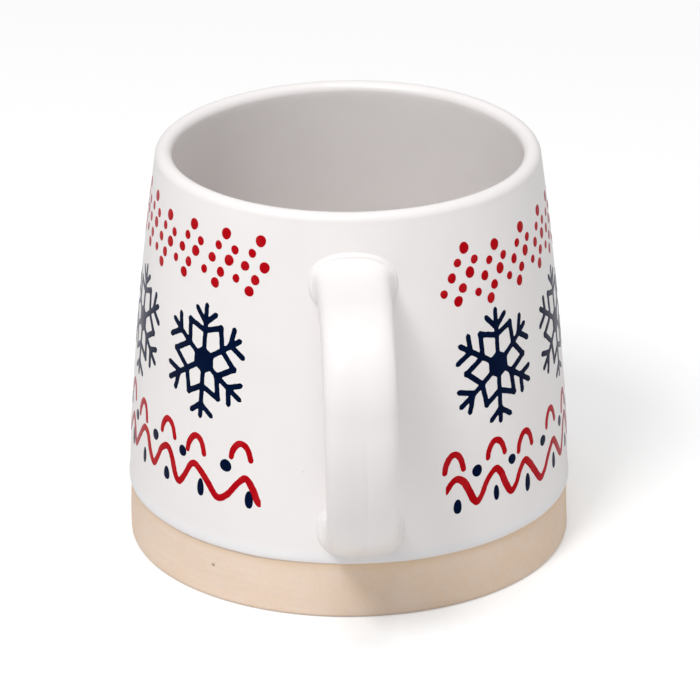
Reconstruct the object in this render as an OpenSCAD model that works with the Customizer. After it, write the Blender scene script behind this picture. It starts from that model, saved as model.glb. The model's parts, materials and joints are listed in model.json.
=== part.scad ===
// Wide-footed stoneware mug with a strap handle and a printed winter border.
// Origin: centre of the foot on the table. +Z up, handle towards -Y. Millimetres.

/* [Body] */
// Height of the lip above the table
mug_h = 95.5; // [78:0.5:116]
// Diameter of the bare clay at the foot
foot_d = 103.4; // [86:0.2:126]
// Outer diameter of the clay at the lip
mouth_d = 87.6; // [72:0.2:106]
// How late the side leans in: 1 is a straight cone, 2 a full belly
belly = 1.7; // [1.2:0.1:2.2]
// Thickness of the clay wall
wall_t = 3.2; // [2.6:0.1:4.5]
// Thickness of the clay floor
floor_t = 5; // [3:0.5:8]
// Radius of the curve between wall and floor inside
heel_r = 9; // [4:0.5:14]

/* [Foot] */
// Width of the ring that touches the table
foot_ring_w = 6; // [4:0.5:12]
// Depth of the hollow inside the ring
foot_hollow = 1.2; // [0.6:0.1:2.4]
// Bevel around the outside edge of the foot
foot_bevel = 0.9; // [0.3:0.1:2]

/* [Glaze] */
// Thickness of the glaze coats
coat = 0.4; // [0.2:0.05:0.8]
// Height of the line where the glaze stops above the bare clay
glaze_line = 13.4; // [8:0.2:15]
// Height of the rounded bead along the edge of the glaze
bead_h = 0.8; // [0.4:0.1:1.5]

/* [Handle] */
// Width of the clay strap
strap_w = 15.5; // [12:0.5:19]
// Thickness of the clay strap
strap_t = 8.2; // [6:0.2:10]
// Squareness of the strap's section: 2 is an ellipse
strap_square = 3.2; // [2:0.1:5]
// Distance from the foot's outside edge to the middle of the strap
strap_stand = 27.8; // [22:0.2:36]
// Distance from the lip down to the middle of the upper root
upper_root_drop = 15.7; // [13:0.1:20]
// Height of the middle of the lower root above the glaze line
lower_root_rise = 8.5; // [8:0.1:14]
// Radius of the upper bend at the middle of the strap
upper_bend_r = 15.5; // [10:0.5:20]
// Length of the straight drop below the upper bend
strap_drop = 6; // [1:0.5:14]
// Width of clay that the slip collars add on each side of the strap
collar_side = 1.6; // [0.8:0.1:2.4]
// Height of clay that the slip collars add above and below the strap
collar_rise = 2.7; // [1.5:0.1:3.5]
// Length of the slip collars along the strap
collar_l = 4.5; // [3:0.5:7]
// Height of the raised edge of the slip collars
collar_edge = 0.9; // [0.6:0.1:1.4]

/* [Border] */
// Thickness of the printed colour
print_t = 0.12; // [0.08:0.02:0.2]
// Width of clear glaze on each side of the handle, as an angle from its middle
clear_half_angle = 23; // [18:1:30]
// Height of the first row of red dots below the lip
dots_drop = 10.4; // [9:0.2:14]
// Height of the middle of the snowflakes below the lip
flakes_drop = 39.7; // [38.5:0.1:42]
// Height of the arches' tops above the glaze line
arches_rise = 24.8; // [23:0.2:27]
// How much higher the left half of the border sits than the right half
left_lift = 2; // [0:0.2:3]

/* [Snowflakes] */
// Number of snowflakes around the mug
flake_count = 9; // [1:1:9]
// Length of a snowflake's arm from its middle
flake_arm = 12.6; // [8:0.2:13]
// Width of a snowflake's strokes
flake_stroke = 1.35; // [1:0.05:1.6]

/* [Hidden] */
SHEETS = ["right", "left"];

CLAY = [0.86, 0.75, 0.66];
SLIP = [0.90, 0.84, 0.78];
GLAZE = [0.93, 0.92, 0.91];
RED = [0.74, 0.03, 0.06];
NAVY = [0.03, 0.09, 0.20];

$fn = 96;
// Small rounds such as stroke ends and dots
FINE_FN = 24;
// Number of straight steps that follow the side from foot to lip
WALL_STEPS = 10;
// Angle between two points on a rounded edge
ARC_STEP = 15;

/* Outline of the body: the side follows one power curve from foot to lip. */
foot_r = foot_d / 2;
mouth_r = mouth_d / 2;
lip_r = wall_t / 2;
lip_z = mug_h - coat - lip_r;
function side_r(z) = foot_r - (foot_r - mouth_r) * pow(z / mug_h, belly);
SIDE = [for (i = [0:WALL_STEPS]) let (z = lip_z * i / WALL_STEPS) [z, side_r(z)]];

// Radius of the clay at height z, on the straight steps
function clay_r(z) = lookup(z, SIDE);
function reversed(list) = [for (i = [len(list) - 1:-1:0]) list[i]];

// Points up the outside between two heights, off away from the clay
function side_points(z0, z1, off) = concat(
    [[clay_r(z0) + off, z0]],
    [for (s = SIDE) if (s[0] > z0 && s[0] < z1) [s[1] + off, s[0]]],
    [[clay_r(z1) + off, z1]]
);

// Points over the lip between two angles, 0 outside and 180 inside
function lip_points(a0, a1, off) = [
    for (a = [a0:ARC_STEP:a1])
        [clay_r(lip_z) - lip_r + (lip_r + off) * cos(a), lip_z + (lip_r + off) * sin(a)]
];

// Points down the inside from below the lip to the middle of the floor
heel_z = floor_t + heel_r;
function inside_points(off) = concat(
    [for (s = reversed(SIDE)) if (s[0] > heel_z && s[0] < lip_z) [s[1] - wall_t - off, s[0]]],
    [for (a = [0:-ARC_STEP:-90])
        [clay_r(heel_z) - wall_t - heel_r + (heel_r - off) * cos(a), heel_z + (heel_r - off) * sin(a)]],
    [[0, floor_t + off]]
);

// Solid of the whole outside, which the handle and its collars stop against
module body_core() {
    rotate_extrude() polygon(concat([[0, 0]], side_points(0, lip_z, 0), [[0, lip_z]]));
}

module clay_body() {
    ring_in = foot_r - foot_ring_w;
    color(CLAY) rotate_extrude() polygon(concat(
        [[foot_r - foot_bevel, 0]],
        side_points(foot_bevel, lip_z, 0),
        lip_points(ARC_STEP, 180, 0),
        inside_points(0),
        [[0, foot_hollow], [ring_in - foot_hollow, foot_hollow], [ring_in, 0]]
    ));
}

module liner_glaze() {
    color(GLAZE) rotate_extrude() polygon(concat(
        lip_points(90, 180, 0),
        inside_points(0),
        reversed(inside_points(coat)),
        reversed(lip_points(90, 180, coat))
    ));
}

module outer_glaze() {
    edge_z = glaze_line + bead_h;
    bead = [
        for (a = [30, 60])
            [clay_r(glaze_line) + coat * sin(a), glaze_line + bead_h * (1 - cos(a))]
    ];
    color(GLAZE) difference() {
        rotate_extrude() polygon(concat(
            reversed(lip_points(ARC_STEP, 90, 0)),
            reversed(side_points(glaze_line, lip_z, 0)),
            bead,
            side_points(edge_z, lip_z, coat),
            lip_points(ARC_STEP, 90, coat)
        ));
        at_upper_root() root_plug(collar_edge);
        at_lower_root() root_plug(collar_edge);
    }
}

/* Handle: level arm, upper bend, straight drop, and one long bend back to the wall.
   It is drawn with the wall at -X and turned to -Y at the end. */
// Rounds to a thousandth, so that stretches of the strap that meet end on the same plane
function neat(x) = round(x * 1000) / 1000;
reach = foot_r + strap_stand;
upper_z = mug_h - upper_root_drop;
lower_z = glaze_line + lower_root_rise;
drop_top = upper_z - upper_bend_r;
drop_end = drop_top - strap_drop;
fall = drop_end - lower_z;
inset = reach - clay_r(lower_z);
// The long bend is the arc that leaves the drop straight down and passes through the lower root
lower_bend_r = neat((fall * fall + inset * inset) / (2 * inset));
lower_bend_angle = neat(atan2(fall, lower_bend_r - inset));
// The long bend runs on inside the wall by half as much again as the wall's thickness
run_on_angle = neat(1.5 * wall_t / lower_bend_r * 180 / PI);
SECTION_STEP = 12;

// Superellipse term of a sine or cosine
function rounded(x, square) = sign(x) * pow(abs(x), 2 / square);

// Rounded section, w wide along Y and t thick along X, with its points counted from an angle
function oval(w, t, square, start = 0) = [
    for (a = [start:SECTION_STEP:start + 359])
        [t / 2 * rounded(cos(a), square), w / 2 * rounded(sin(a), square)]
];

module section(off) polygon(oval(strap_w + 2 * off, strap_t + 2 * off, strap_square));

// Turns its child, a flat section, up and inwards from the level of the bend's middle
module bend(r, sweep) {
    rotate([90, 0, 0]) rotate_extrude(angle = sweep) translate([r, 0]) children();
}

// Sweeps its child, a flat section, along the whole strap
module along_strap() {
    arm_l = reach - upper_bend_r - clay_r(upper_z) + wall_t;
    rotate([0, 0, -90]) {
        translate([reach - upper_bend_r, 0, upper_z]) rotate([0, -90, 0]) linear_extrude(arm_l) children();
        translate([reach - upper_bend_r, 0, drop_top]) bend(upper_bend_r, 90) children();
        translate([reach, 0, drop_end]) linear_extrude(strap_drop) children();
        translate([reach - lower_bend_r, 0, drop_end])
            mirror([0, 0, 1]) bend(lower_bend_r, lower_bend_angle + run_on_angle) children();
    }
}

// Outline of a collar at a share of its full size: 1 at the wall, 0 where it meets the strap
EDGE_LIP = 0.35;
function collar_outline(share, off) = oval(
    strap_w + 2 * (EDGE_LIP + off + collar_side * share),
    strap_t + 2 * (EDGE_LIP + off + collar_rise * share),
    strap_square - share
);

// Rings of a collar, along +X from the wall's surface: a raised edge, then a hollow curve up to the strap
function collar_ring(x, outline) = [for (p = outline) [x, p[1], p[0]]];
function collar_rings(off) = concat(
    [for (x = [-wall_t, collar_edge + off]) collar_ring(x, collar_outline(1, off))],
    [for (a = [ARC_STEP:ARC_STEP:90])
        let (x = collar_edge + off + (collar_l - collar_edge) * (1 - cos(a)))
        collar_ring(x, collar_outline(1 - sin(a), off))]
);

module collar() skin_solid(collar_rings(0));

// Glaze over a collar and its end, which dips into the strap by the strap's own cut.
// The dip's points stand half a step aside, so that no edge of its faces runs along an edge of the strap.
module collar_coat() {
    inner = strap_t / 4;
    dip = oval(strap_w - inner, strap_t - inner, strap_square, SECTION_STEP / 2);
    skin_loop(concat(
        collar_rings(0),
        [for (x = [collar_l, collar_l + coat]) collar_ring(x, dip)],
        reversed(collar_rings(coat))
    ));
}

// Plug with a glazed collar's full outline, from inside the wall out to x
module root_plug(x) {
    inside = 3 * wall_t;
    rotate([0, 90, 0]) translate([0, 0, -inside]) linear_extrude(inside + x)
        polygon([for (p = collar_outline(1, coat)) [-p[0], p[1]]]);
}

// Side faces between ring j and ring k, each of n points
function side_faces(j, k, n) = [
    for (i = [0:n - 1]) each [
        [j * n + i, k * n + i, j * n + (i + 1) % n],
        [j * n + (i + 1) % n, k * n + i, k * n + (i + 1) % n]
    ]
];

// Closed solid through rings of the same number of points
module skin_solid(rings) {
    n = len(rings[0]);
    m = len(rings);
    polyhedron(
        points = [for (ring = rings) each ring],
        faces = concat(
            [[for (i = [0:n - 1]) i]],
            [for (j = [0:m - 2]) each side_faces(j, j + 1, n)],
            [[for (i = [n - 1:-1:0]) (m - 1) * n + i]]
        )
    );
}

// Hollow ring-shaped solid, whose last ring joins the first
module skin_loop(rings) {
    n = len(rings[0]);
    m = len(rings);
    polyhedron(
        points = [for (ring = rings) each ring],
        faces = [for (j = [0:m - 1]) each side_faces(j, (j + 1) % m, n)]
    );
}

module at_upper_root() {
    rotate([0, 0, -90]) translate([clay_r(upper_z), 0, upper_z]) children();
}

module at_lower_root() {
    rotate([0, 0, -90]) translate([clay_r(lower_z), 0, lower_z])
        rotate([0, lower_bend_angle - 90, 0]) children();
}

module clay_handle() {
    color(CLAY) difference() {
        along_strap() section(0);
        body_core();
    }
}

// Fits a ring around a root to the wall and the strap
module fitted(shade) {
    color(shade) difference() {
        children();
        body_core();
        along_strap() section(0);
    }
}

module upper_slip_joint() fitted(SLIP) at_upper_root() collar();
module lower_slip_joint() fitted(SLIP) at_lower_root() collar();
module upper_root_glaze() fitted(GLAZE) at_upper_root() collar_coat();
module lower_root_glaze() fitted(GLAZE) at_lower_root() collar_coat();

module handle_glaze() {
    color(GLAZE) difference() {
        along_strap() difference() {
            section(coat);
            section(0);
        }
        at_upper_root() root_plug(collar_l + coat);
        at_lower_root() root_plug(collar_l + coat);
    }
}

/* Border: thin prints on the glaze. Angles are counted from the handle, and grow to its right.
   Heights and widths are for a glaze of the drawn height, and art fits them to this mug's own. */
DRAWN_H = 82.1;
art = (mug_h - glaze_line) / DRAWN_H;
function around(a) = a - 90;

// Length along the glaze of one degree at height z
function degree(z) = (clay_r(z) + coat) * PI / 180;

// Thin skin on the glaze between two heights, from which flat shapes are cut
module print_skin(z0, z1) {
    rotate_extrude() polygon(concat(
        side_points(z0, z1, coat),
        reversed(side_points(z0, z1, coat + print_t))
    ));
}

// Stands its children, drawn flat in X and Y, against the glaze as a punch through the skin
module punch(a, z) {
    depth = 4 * wall_t;
    rotate([0, 0, around(a)]) translate([clay_r(z) - depth / 2, 0, z])
        rotate([90, 0, 90]) linear_extrude(depth) children();
}

// Band that follows a path of [angle, height, half width] on the glaze
function band_ring(path, i) =
    let (
        here = path[i],
        before = path[max(i - 1, 0)],
        after = path[min(i + 1, len(path) - 1)],
        per = degree(here[1]),
        run = (after[0] - before[0]) * per,
        rise = after[1] - before[1],
        l = norm([run, rise]),
        side_a = -rise / l * here[2] / per,
        side_z = run / l * here[2]
    )
    [for (corner = [[1, 0], [1, 1], [-1, 1], [-1, 0]])
        let (
            a = around(here[0] + corner[0] * side_a),
            z = here[1] + corner[0] * side_z,
            r = clay_r(z) + coat + corner[1] * print_t
        )
        [r * cos(a), r * sin(a), z]];

module band(path) skin_solid([for (i = [0:len(path) - 1]) band_ring(path, i)]);

// The border's two halves meet behind the mug, opposite the handle
function lift(sheet) = sheet == "left" ? art * left_lift : 0;

/* Red dots: pairs of slanting chains. Each entry is [angle, height, diameter] from the pair's first dot. */
CHAINS = [
    [0, 0, 2.6], [-2.5, -3.1, 1.95], [-4.6, -6.3, 2.2], [-7.3, -9.6, 1.9],
    [3.3, -3.2, 2.0], [1.5, -5.9, 2.5], [-1.2, -9.1, 2.2], [-2.9, -11.9, 2.35]
];
PAIR_STEPS = [0, 11.3, 23.9, 36.7];
PAIR_SINKS = [0, -1.4, -0.4, 0];
PAIR_CYCLE = 48.2;
PAIRS = 13;
// The right half begins this far past the clear glaze, and the left half ends as far short of it
DOTS_MARGIN = 9.3;
LEFT_DOTS_MARGIN = 4.5;
// Extra height of the dots on the left half
DOTS_EXTRA_LIFT = 1;
CUT_DOT = 4;
// Height of the skin that the dots are cut from, above and below the first dot
DOTS_ABOVE = 3;
DOTS_BELOW = 17;

module red_dots(sheet) {
    left = sheet == "left";
    start = left
        ? 360 - clear_half_angle - LEFT_DOTS_MARGIN - PAIR_CYCLE * 3
        : clear_half_angle + DOTS_MARGIN;
    top = mug_h - art * dots_drop + lift(sheet) + (left ? art * DOTS_EXTRA_LIFT : 0);
    color(RED) intersection() {
        print_skin(top - art * DOTS_BELOW, top + art * DOTS_ABOVE);
        union() for (i = [0:PAIRS - 1], k = [0:len(CHAINS) - 1])
            if (!(left && i == PAIRS - 1 && k == CUT_DOT)) {
                a = start + PAIR_CYCLE * floor(i / 4) + PAIR_STEPS[i % 4];
                z = top + art * (PAIR_SINKS[i % 4] + CHAINS[k][1]);
                punch(a + CHAINS[k][0], z) circle(d = art * CHAINS[k][2], $fn = FINE_FN);
            }
    }
}

/* Lower border: arches over a wave, with a round dot over each trough and a drop under each peak. */
ARCH_STEPS = [0, 13.8, 24.9, 39.7];
ARCH_RISES = [0, 0.9, -0.3, 0.8];
TROUGH_STEPS = [7.2, 19, 32.6, 46];
ARCH_CYCLE = 52;
CYCLES = 3;
ARCH_MARGIN = 2.8;
LEFT_ARCH_MARGIN = 7.8;
WAVE_MARGIN = 0.5;
LEFT_WAVE_MARGIN = 2;
SEAM_ANGLE = 177.5;
SEAM_GAP = 0.4;
ARCH_HALF_W = 2.6 * art;
ARCH_H = 4.6 * art;
ARCH_STROKE = 1.5 * art;
WAVE_DROP = 7.3 * art;
WAVE_DEPTH = 6.4 * art;
WAVE_STROKE = 1.8 * art;
NAVY_DOT_D = 2.7 * art;
NAVY_DOT_DROP = 6.2 * art;
DROP_W = 2 * art;
DROP_L = 3.8 * art;
DROP_DROP = 13.3 * art;
DROP_ARC_STEP = 15;
// Straight steps of the wave between the two ends of a half
WAVE_STEPS = 110;

function arch_start(sheet) = sheet == "left"
    ? 360 - clear_half_angle - LEFT_ARCH_MARGIN - ARCH_CYCLE * (CYCLES - 1) - ARCH_STEPS[3]
    : clear_half_angle + ARCH_MARGIN;
function arch_top(sheet) = glaze_line + art * arches_rise + lift(sheet);
ARCHES = CYCLES * 4;
function cycled(sheet, i, steps) =
    let (cycle = floor(i / 4))
    arch_start(sheet) + ARCH_CYCLE * cycle + steps[i - 4 * cycle];
function arch_angle(sheet, i) = cycled(sheet, i, ARCH_STEPS);
function trough_angle(sheet, i) = cycled(sheet, i, TROUGH_STEPS);

module red_arches(sheet) {
    color(RED) for (i = [0:ARCHES - 1]) {
        z = arch_top(sheet) + art * ARCH_RISES[i % 4] - ARCH_STROKE / 2;
        per = degree(z);
        band([for (t = [-30:20:210])
            [
                arch_angle(sheet, i) - ARCH_HALF_W / per * cos(min(max(t, 0), 180)),
                z - ARCH_HALF_W * (1 - sin(min(max(t, 0), 180)))
                    - (ARCH_H - ARCH_STROKE / 2 - ARCH_HALF_W) * max(-t, t - 180, 0) / 30,
                ARCH_STROKE / 2
            ]]);
    }
}

// The wave swings down from each peak under an arch to the next trough, and up again
function wave_fall(sheet, a) = let (
    turns = [for (i = [-1:ARCHES]) each [arch_angle(sheet, i), trough_angle(sheet, i)]],
    k = max([for (i = [0:len(turns) - 1]) if (turns[i] <= a) i]),
    share = (1 - cos(180 * (a - turns[k]) / (turns[k + 1] - turns[k]))) / 2
) k % 2 == 0 ? share : 1 - share;

module red_wave(sheet) {
    left = sheet == "left";
    from = left ? SEAM_ANGLE + SEAM_GAP / 2 : clear_half_angle + WAVE_MARGIN;
    to = left ? 360 - clear_half_angle - LEFT_WAVE_MARGIN : SEAM_ANGLE - SEAM_GAP / 2;
    crest = arch_top(sheet) - WAVE_DROP;
    color(RED) band([for (i = [0:WAVE_STEPS])
        let (a = from + (to - from) * i / WAVE_STEPS)
        [a, crest - WAVE_DEPTH * wave_fall(sheet, a), WAVE_STROKE / 2]]);
}

module navy_dots(sheet) {
    z = arch_top(sheet) - NAVY_DOT_DROP;
    color(NAVY) intersection() {
        print_skin(z - NAVY_DOT_D, z + NAVY_DOT_D);
        union() for (i = [0:ARCHES - 1])
            punch(trough_angle(sheet, i), z) circle(d = NAVY_DOT_D, $fn = FINE_FN);
    }
}

// A drop has straight sides and round ends
drop_outline = [
    for (s = [1, -1], a = [0:DROP_ARC_STEP:180])
        [s * DROP_W / 2 * cos(a), s * ((DROP_L - DROP_W) / 2 + DROP_W / 2 * sin(a))]
];

module navy_drops(sheet) {
    z = arch_top(sheet) - DROP_DROP;
    color(NAVY) intersection() {
        print_skin(z - DROP_L, z + DROP_L);
        union() for (i = [0:ARCHES - 1]) punch(arch_angle(sheet, i), z) polygon(drop_outline);
    }
}

/* Snowflakes: a solid hub, six forked arms, and a star line that zigzags between the arms.
   Shares are of the arm's length. Points are drawn for the arm along +Y, on its right-hand side. */
HUB_SHARE = 0.27;
VALLEY_SHARE = 0.48;
TIP_SHARE = 0.73;
FORK_SHARE = 0.62;
FORK_END = [0.24, 0.88];
ROUND_STEP = 30;
// Angles between the clear glaze and the first and last snowflakes' middles
FLAKE_MARGIN = 18.3;
LAST_FLAKE_MARGIN = 21.7;
// Share of the left half's lift that its last snowflake takes
FLAKE_LIFT_SHARE = 0.8;
arm_l = art * flake_arm;
half = art * flake_stroke / 2;
between = [sin(30), cos(30)];

// Where the line through p along d meets the line through q along e
function crossed(d, e) = d[0] * e[1] - d[1] * e[0];
function meet(p, d, q, e) = p + d * crossed(q - p, e) / crossed(d, e);
function unit(v) = v / norm(v);
function left_of(v) = [-v[1], v[0]];
function round_end(p, from, to) = [for (a = [from:-ROUND_STEP:to]) p + half * [cos(a), sin(a)]];
function mirrored(list) = [for (p = reversed(list)) [-p[0], p[1]]];
function turned(list, a) = [for (p = list) [p[0] * cos(a) - p[1] * sin(a), p[0] * sin(a) + p[1] * cos(a)]];

valley = [0, arm_l * VALLEY_SHARE];
tip = arm_l * TIP_SHARE * between;
star_dir = unit(tip - valley);
star_side = half * left_of(star_dir);
fork = [0, arm_l * FORK_SHARE];
fork_end = arm_l * FORK_END;
fork_dir = unit(fork_end - fork);
fork_side = half * left_of(fork_dir);
fork_angle = atan2(fork_dir[1], fork_dir[0]);
arm_edge = [half, 0];

// Outline from the end of the arm down its right-hand side to the star line's tip
arm_right = concat(
    round_end([0, arm_l], 60, 0),
    [meet(arm_edge, [0, 1], fork + fork_side, fork_dir)],
    round_end(fork_end, fork_angle + 90, fork_angle - 90),
    [meet(arm_edge, [0, 1], fork - fork_side, fork_dir)],
    [meet(arm_edge, [0, 1], valley + star_side, star_dir)],
    [meet(tip, between, valley + star_side, star_dir)]
);
arm_outline = concat(mirrored(arm_right), [[0, arm_l + half]], arm_right);
// Its first point is the last point of the arm before it
arm_open = [for (k = [1:len(arm_outline) - 1]) arm_outline[k]];

// Hole between this arm and the next, inside the star line
hole_side = [
    meet(arm_edge, [0, 1], arm_l * HUB_SHARE * between, left_of(between)),
    meet(arm_edge, [0, 1], valley - star_side, star_dir)
];
hole_tip = meet(tip, between, valley - star_side, star_dir);
hole_outline = concat(hole_side, [hole_tip], turned(mirrored(hole_side), -60));

module flake_outline() {
    difference() {
        polygon([for (turn = [0:60:300]) each turned(arm_open, -turn)]);
        for (turn = [0:60:300]) rotate(turn) polygon(hole_outline);
    }
}

module snowflake(i) {
    first = clear_half_angle + FLAKE_MARGIN;
    last = 360 - clear_half_angle - LAST_FLAKE_MARGIN;
    share = flake_count > 1 ? i / (flake_count - 1) : 0;
    z = mug_h - art * (flakes_drop - left_lift * share * FLAKE_LIFT_SHARE);
    span = arm_l + flake_stroke;
    color(NAVY) intersection() {
        print_skin(z - span, z + span);
        punch(first + (last - first) * share, z) flake_outline();
    }
}

clay_body();
clay_handle();
upper_slip_joint();
lower_slip_joint();
outer_glaze();
liner_glaze();
handle_glaze();
upper_root_glaze();
lower_root_glaze();
for (i = [1:flake_count]) snowflake(i - 1);
for (s = SHEETS) red_dots(s);
for (s = SHEETS) red_arches(s);
for (s = SHEETS) red_wave(s);
for (s = SHEETS) navy_dots(s);
for (s = SHEETS) navy_drops(s);
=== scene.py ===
"""Wide-footed stoneware mug with a strap handle and a printed winter border.

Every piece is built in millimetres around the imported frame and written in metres. Angles are degrees
around the mug, counted from the middle of the handle and growing to its right.
"""
import json
import logging
import math
from dataclasses import dataclass, field
from enum import Enum
from typing import Callable, Optional, Sequence

import bmesh
import bpy
import numpy as np
from mathutils import Matrix, Vector


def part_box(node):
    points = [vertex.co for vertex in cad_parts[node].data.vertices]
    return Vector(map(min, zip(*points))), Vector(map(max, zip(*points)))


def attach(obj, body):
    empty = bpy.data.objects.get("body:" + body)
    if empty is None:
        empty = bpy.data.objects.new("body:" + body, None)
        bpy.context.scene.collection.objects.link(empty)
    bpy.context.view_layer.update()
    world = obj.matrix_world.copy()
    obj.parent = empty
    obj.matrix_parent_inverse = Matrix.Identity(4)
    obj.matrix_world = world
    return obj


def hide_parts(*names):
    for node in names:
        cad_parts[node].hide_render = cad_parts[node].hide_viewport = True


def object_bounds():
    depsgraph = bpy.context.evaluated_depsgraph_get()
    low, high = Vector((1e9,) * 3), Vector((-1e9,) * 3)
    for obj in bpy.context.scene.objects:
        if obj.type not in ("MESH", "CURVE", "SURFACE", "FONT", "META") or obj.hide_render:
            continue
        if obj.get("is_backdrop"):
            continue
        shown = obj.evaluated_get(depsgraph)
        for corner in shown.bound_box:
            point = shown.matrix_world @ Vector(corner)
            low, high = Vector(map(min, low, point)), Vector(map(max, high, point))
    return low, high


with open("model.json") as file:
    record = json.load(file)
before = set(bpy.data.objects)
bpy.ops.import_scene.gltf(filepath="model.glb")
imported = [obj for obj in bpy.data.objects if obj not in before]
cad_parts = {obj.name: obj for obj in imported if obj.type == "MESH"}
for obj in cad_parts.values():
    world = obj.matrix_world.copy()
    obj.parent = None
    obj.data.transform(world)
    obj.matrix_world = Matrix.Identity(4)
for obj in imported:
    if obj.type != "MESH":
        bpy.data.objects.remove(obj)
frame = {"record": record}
CAD_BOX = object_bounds()

MM = 0.001
GOLDEN = 0.618034
TINY = 1e-12
FAR = 1e9
UNREACHED = 9.0
LONG_SPOT = 1.3
SHARP_ANGLE = math.radians(38)
LOG = logging.getLogger("mug")

Colour = tuple[float, float, float]
Point2 = tuple[float, float]


# ---------------------------------------------------------------------------------------------- shapes

@dataclass
class Shape:
    """Points in millimetres and the faces between them."""

    points: np.ndarray
    faces: list


@dataclass
class Patch:
    """Flat cut-out of a grid: places counted in cells, the signed field there, and faces."""

    places: np.ndarray
    depths: np.ndarray
    faces: list


def all_joined(shapes: Sequence[Shape]) -> Shape:
    """Join shapes into one.

    Args:
        shapes: Closed shapes that stand apart.

    Returns:
        One shape that holds them all.
    """
    points, faces, shift = [], [], 0
    for shape in shapes:
        points.append(shape.points)
        faces.extend(tuple(i + shift for i in face) for face in shape.faces)
        shift += len(shape.points)
    return Shape(np.vstack(points), faces)


def ring_faces(first: int, second: int, count: int) -> list:
    """Return the quads between two rings of points.

    Args:
        first: Index of the first ring's first point.
        second: Index of the second ring's first point.
        count: Points in each ring.

    Returns:
        One quad for each step around.
    """
    return [(first + k, second + k, second + (k + 1) % count, first + (k + 1) % count)
            for k in range(count)]


def hollow_loop(rings: np.ndarray) -> Shape:
    """Skin rings whose last one joins the first.

    Args:
        rings: Array of rings by points by three.

    Returns:
        A closed, ring-shaped solid.
    """
    total, count, _ = rings.shape
    faces = []
    for j in range(total):
        faces += ring_faces(j * count, ((j + 1) % total) * count, count)
    return Shape(rings.reshape(-1, 3), faces)


def capped_loft(rings: np.ndarray, ends: np.ndarray) -> Shape:
    """Skin rings and close both ends with fans.

    Args:
        rings: Array of rings by points by three.
        ends: The two points in the middle of the end faces.

    Returns:
        A closed solid.
    """
    total, count, _ = rings.shape
    faces = []
    for j in range(total - 1):
        faces += ring_faces(j * count, (j + 1) * count, count)
    start, stop = total * count, total * count + 1
    last = (total - 1) * count
    faces += [(start, k, (k + 1) % count) for k in range(count)]
    faces += [(stop, last + (k + 1) % count, last + k) for k in range(count)]
    return Shape(np.vstack([rings.reshape(-1, 3), ends]), faces)


def turned(profile: Sequence[Point2], place: Callable, steps: int) -> Shape:
    """Turn a closed profile around the axis.

    Args:
        profile: Radius and height of each row, in order around the profile. A zero radius is a pole.
        place: Function from angles, radii and heights to points.
        steps: Points around the axis.

    Returns:
        A closed solid of revolution.
    """
    angles = np.arange(steps) * 360 / steps
    points, starts = [], []
    total = 0
    for radius, height in profile:
        starts.append(total)
        row = angles[:1] if radius <= 0 else angles
        points.append(place(row, np.full(row.shape, max(radius, 0.0)), np.full(row.shape, height)))
        total += len(row)
    faces = []
    for i, (radius, _) in enumerate(profile):
        after = (i + 1) % len(profile)
        pole, next_pole = radius <= 0, profile[after][0] <= 0
        if pole and next_pole:
            continue
        if pole:
            faces += [(starts[i], starts[after] + k, starts[after] + (k + 1) % steps) for k in range(steps)]
        elif next_pole:
            faces += [(starts[i] + k, starts[after], starts[i] + (k + 1) % steps) for k in range(steps)]
        else:
            faces += ring_faces(starts[i], starts[after], steps)
    return Shape(np.vstack(points), faces)


def crossings_are_clean(faces: list) -> bool:
    """Return whether no point of a cut-out has more than two open edges."""
    edges = {}
    for face in faces:
        for a, b in zip(face, face[1:] + face[:1]):
            edges[(a, b)] = True
    ends = {}
    for a, b in edges:
        if (b, a) not in edges:
            ends[a] = ends.get(a, 0) + 1
    return all(count == 1 for count in ends.values())


def cut_once(signed: np.ndarray, wrap: bool) -> Patch:
    """Cut out the part of a grid where a signed field is not above zero.

    Args:
        signed: Field at each column and row of the grid, below zero inside.
        wrap: Whether the last column joins the first.

    Returns:
        The cut-out. Points close to the edge are moved onto it, so that no sliver is left.
    """
    snap = 0.22
    columns, rows = signed.shape
    depth = signed.copy()
    slope_u, slope_v = np.gradient(signed)
    steep = np.maximum(slope_u ** 2 + slope_v ** 2, 1e-9)
    place = np.stack(np.meshgrid(np.arange(columns), np.arange(rows), indexing="ij"), -1).astype(float)
    near = np.abs(signed) < snap * np.sqrt(steep)
    place[..., 0] -= np.where(near, signed * slope_u / steep, 0)
    place[..., 1] -= np.where(near, signed * slope_v / steep, 0)
    depth[near] = 0
    flat, level = place.reshape(-1, 2), depth.reshape(-1)
    index = np.arange(columns * rows).reshape(columns, rows)
    after = np.roll(index, -1, axis=0) if wrap else index[1:]
    before = index if wrap else index[:-1]
    corners = np.stack([before[:, :-1], after[:, :-1], after[:, 1:], before[:, 1:]], -1).reshape(-1, 4)
    inside = level[corners] <= 0
    faces = [tuple(c) for c in corners[inside.all(axis=1)].tolist()]
    new_places, new_index = [], {}

    def crossing(a: int, b: int) -> int:
        """Return the index of the point where the edge from a to b crosses zero."""
        key = (min(a, b), max(a, b))
        if key not in new_index:
            share = level[key[0]] / (level[key[0]] - level[key[1]])
            new_index[key] = len(flat) + len(new_places)
            new_places.append(flat[key[0]] * (1 - share) + flat[key[1]] * share)
        return new_index[key]

    for cell in corners[inside.any(axis=1) & ~inside.all(axis=1)].tolist():
        outline = []
        for a, b in zip(cell, cell[1:] + cell[:1]):
            if level[a] <= 0:
                outline.append(a)
            if level[a] * level[b] < 0:
                outline.append(crossing(a, b))
        if len(outline) > 2:
            faces.append(tuple(outline))
    places = np.vstack([flat, np.array(new_places).reshape(-1, 2)])
    depths = np.concatenate([level, np.zeros(len(new_places))])
    used = np.unique(np.fromiter((i for face in faces for i in face), dtype=int))
    renumber = np.full(len(places), -1)
    renumber[used] = np.arange(len(used))
    faces = [tuple(renumber[list(face)].tolist()) for face in faces]
    return Patch(places[used], depths[used], faces)


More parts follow.
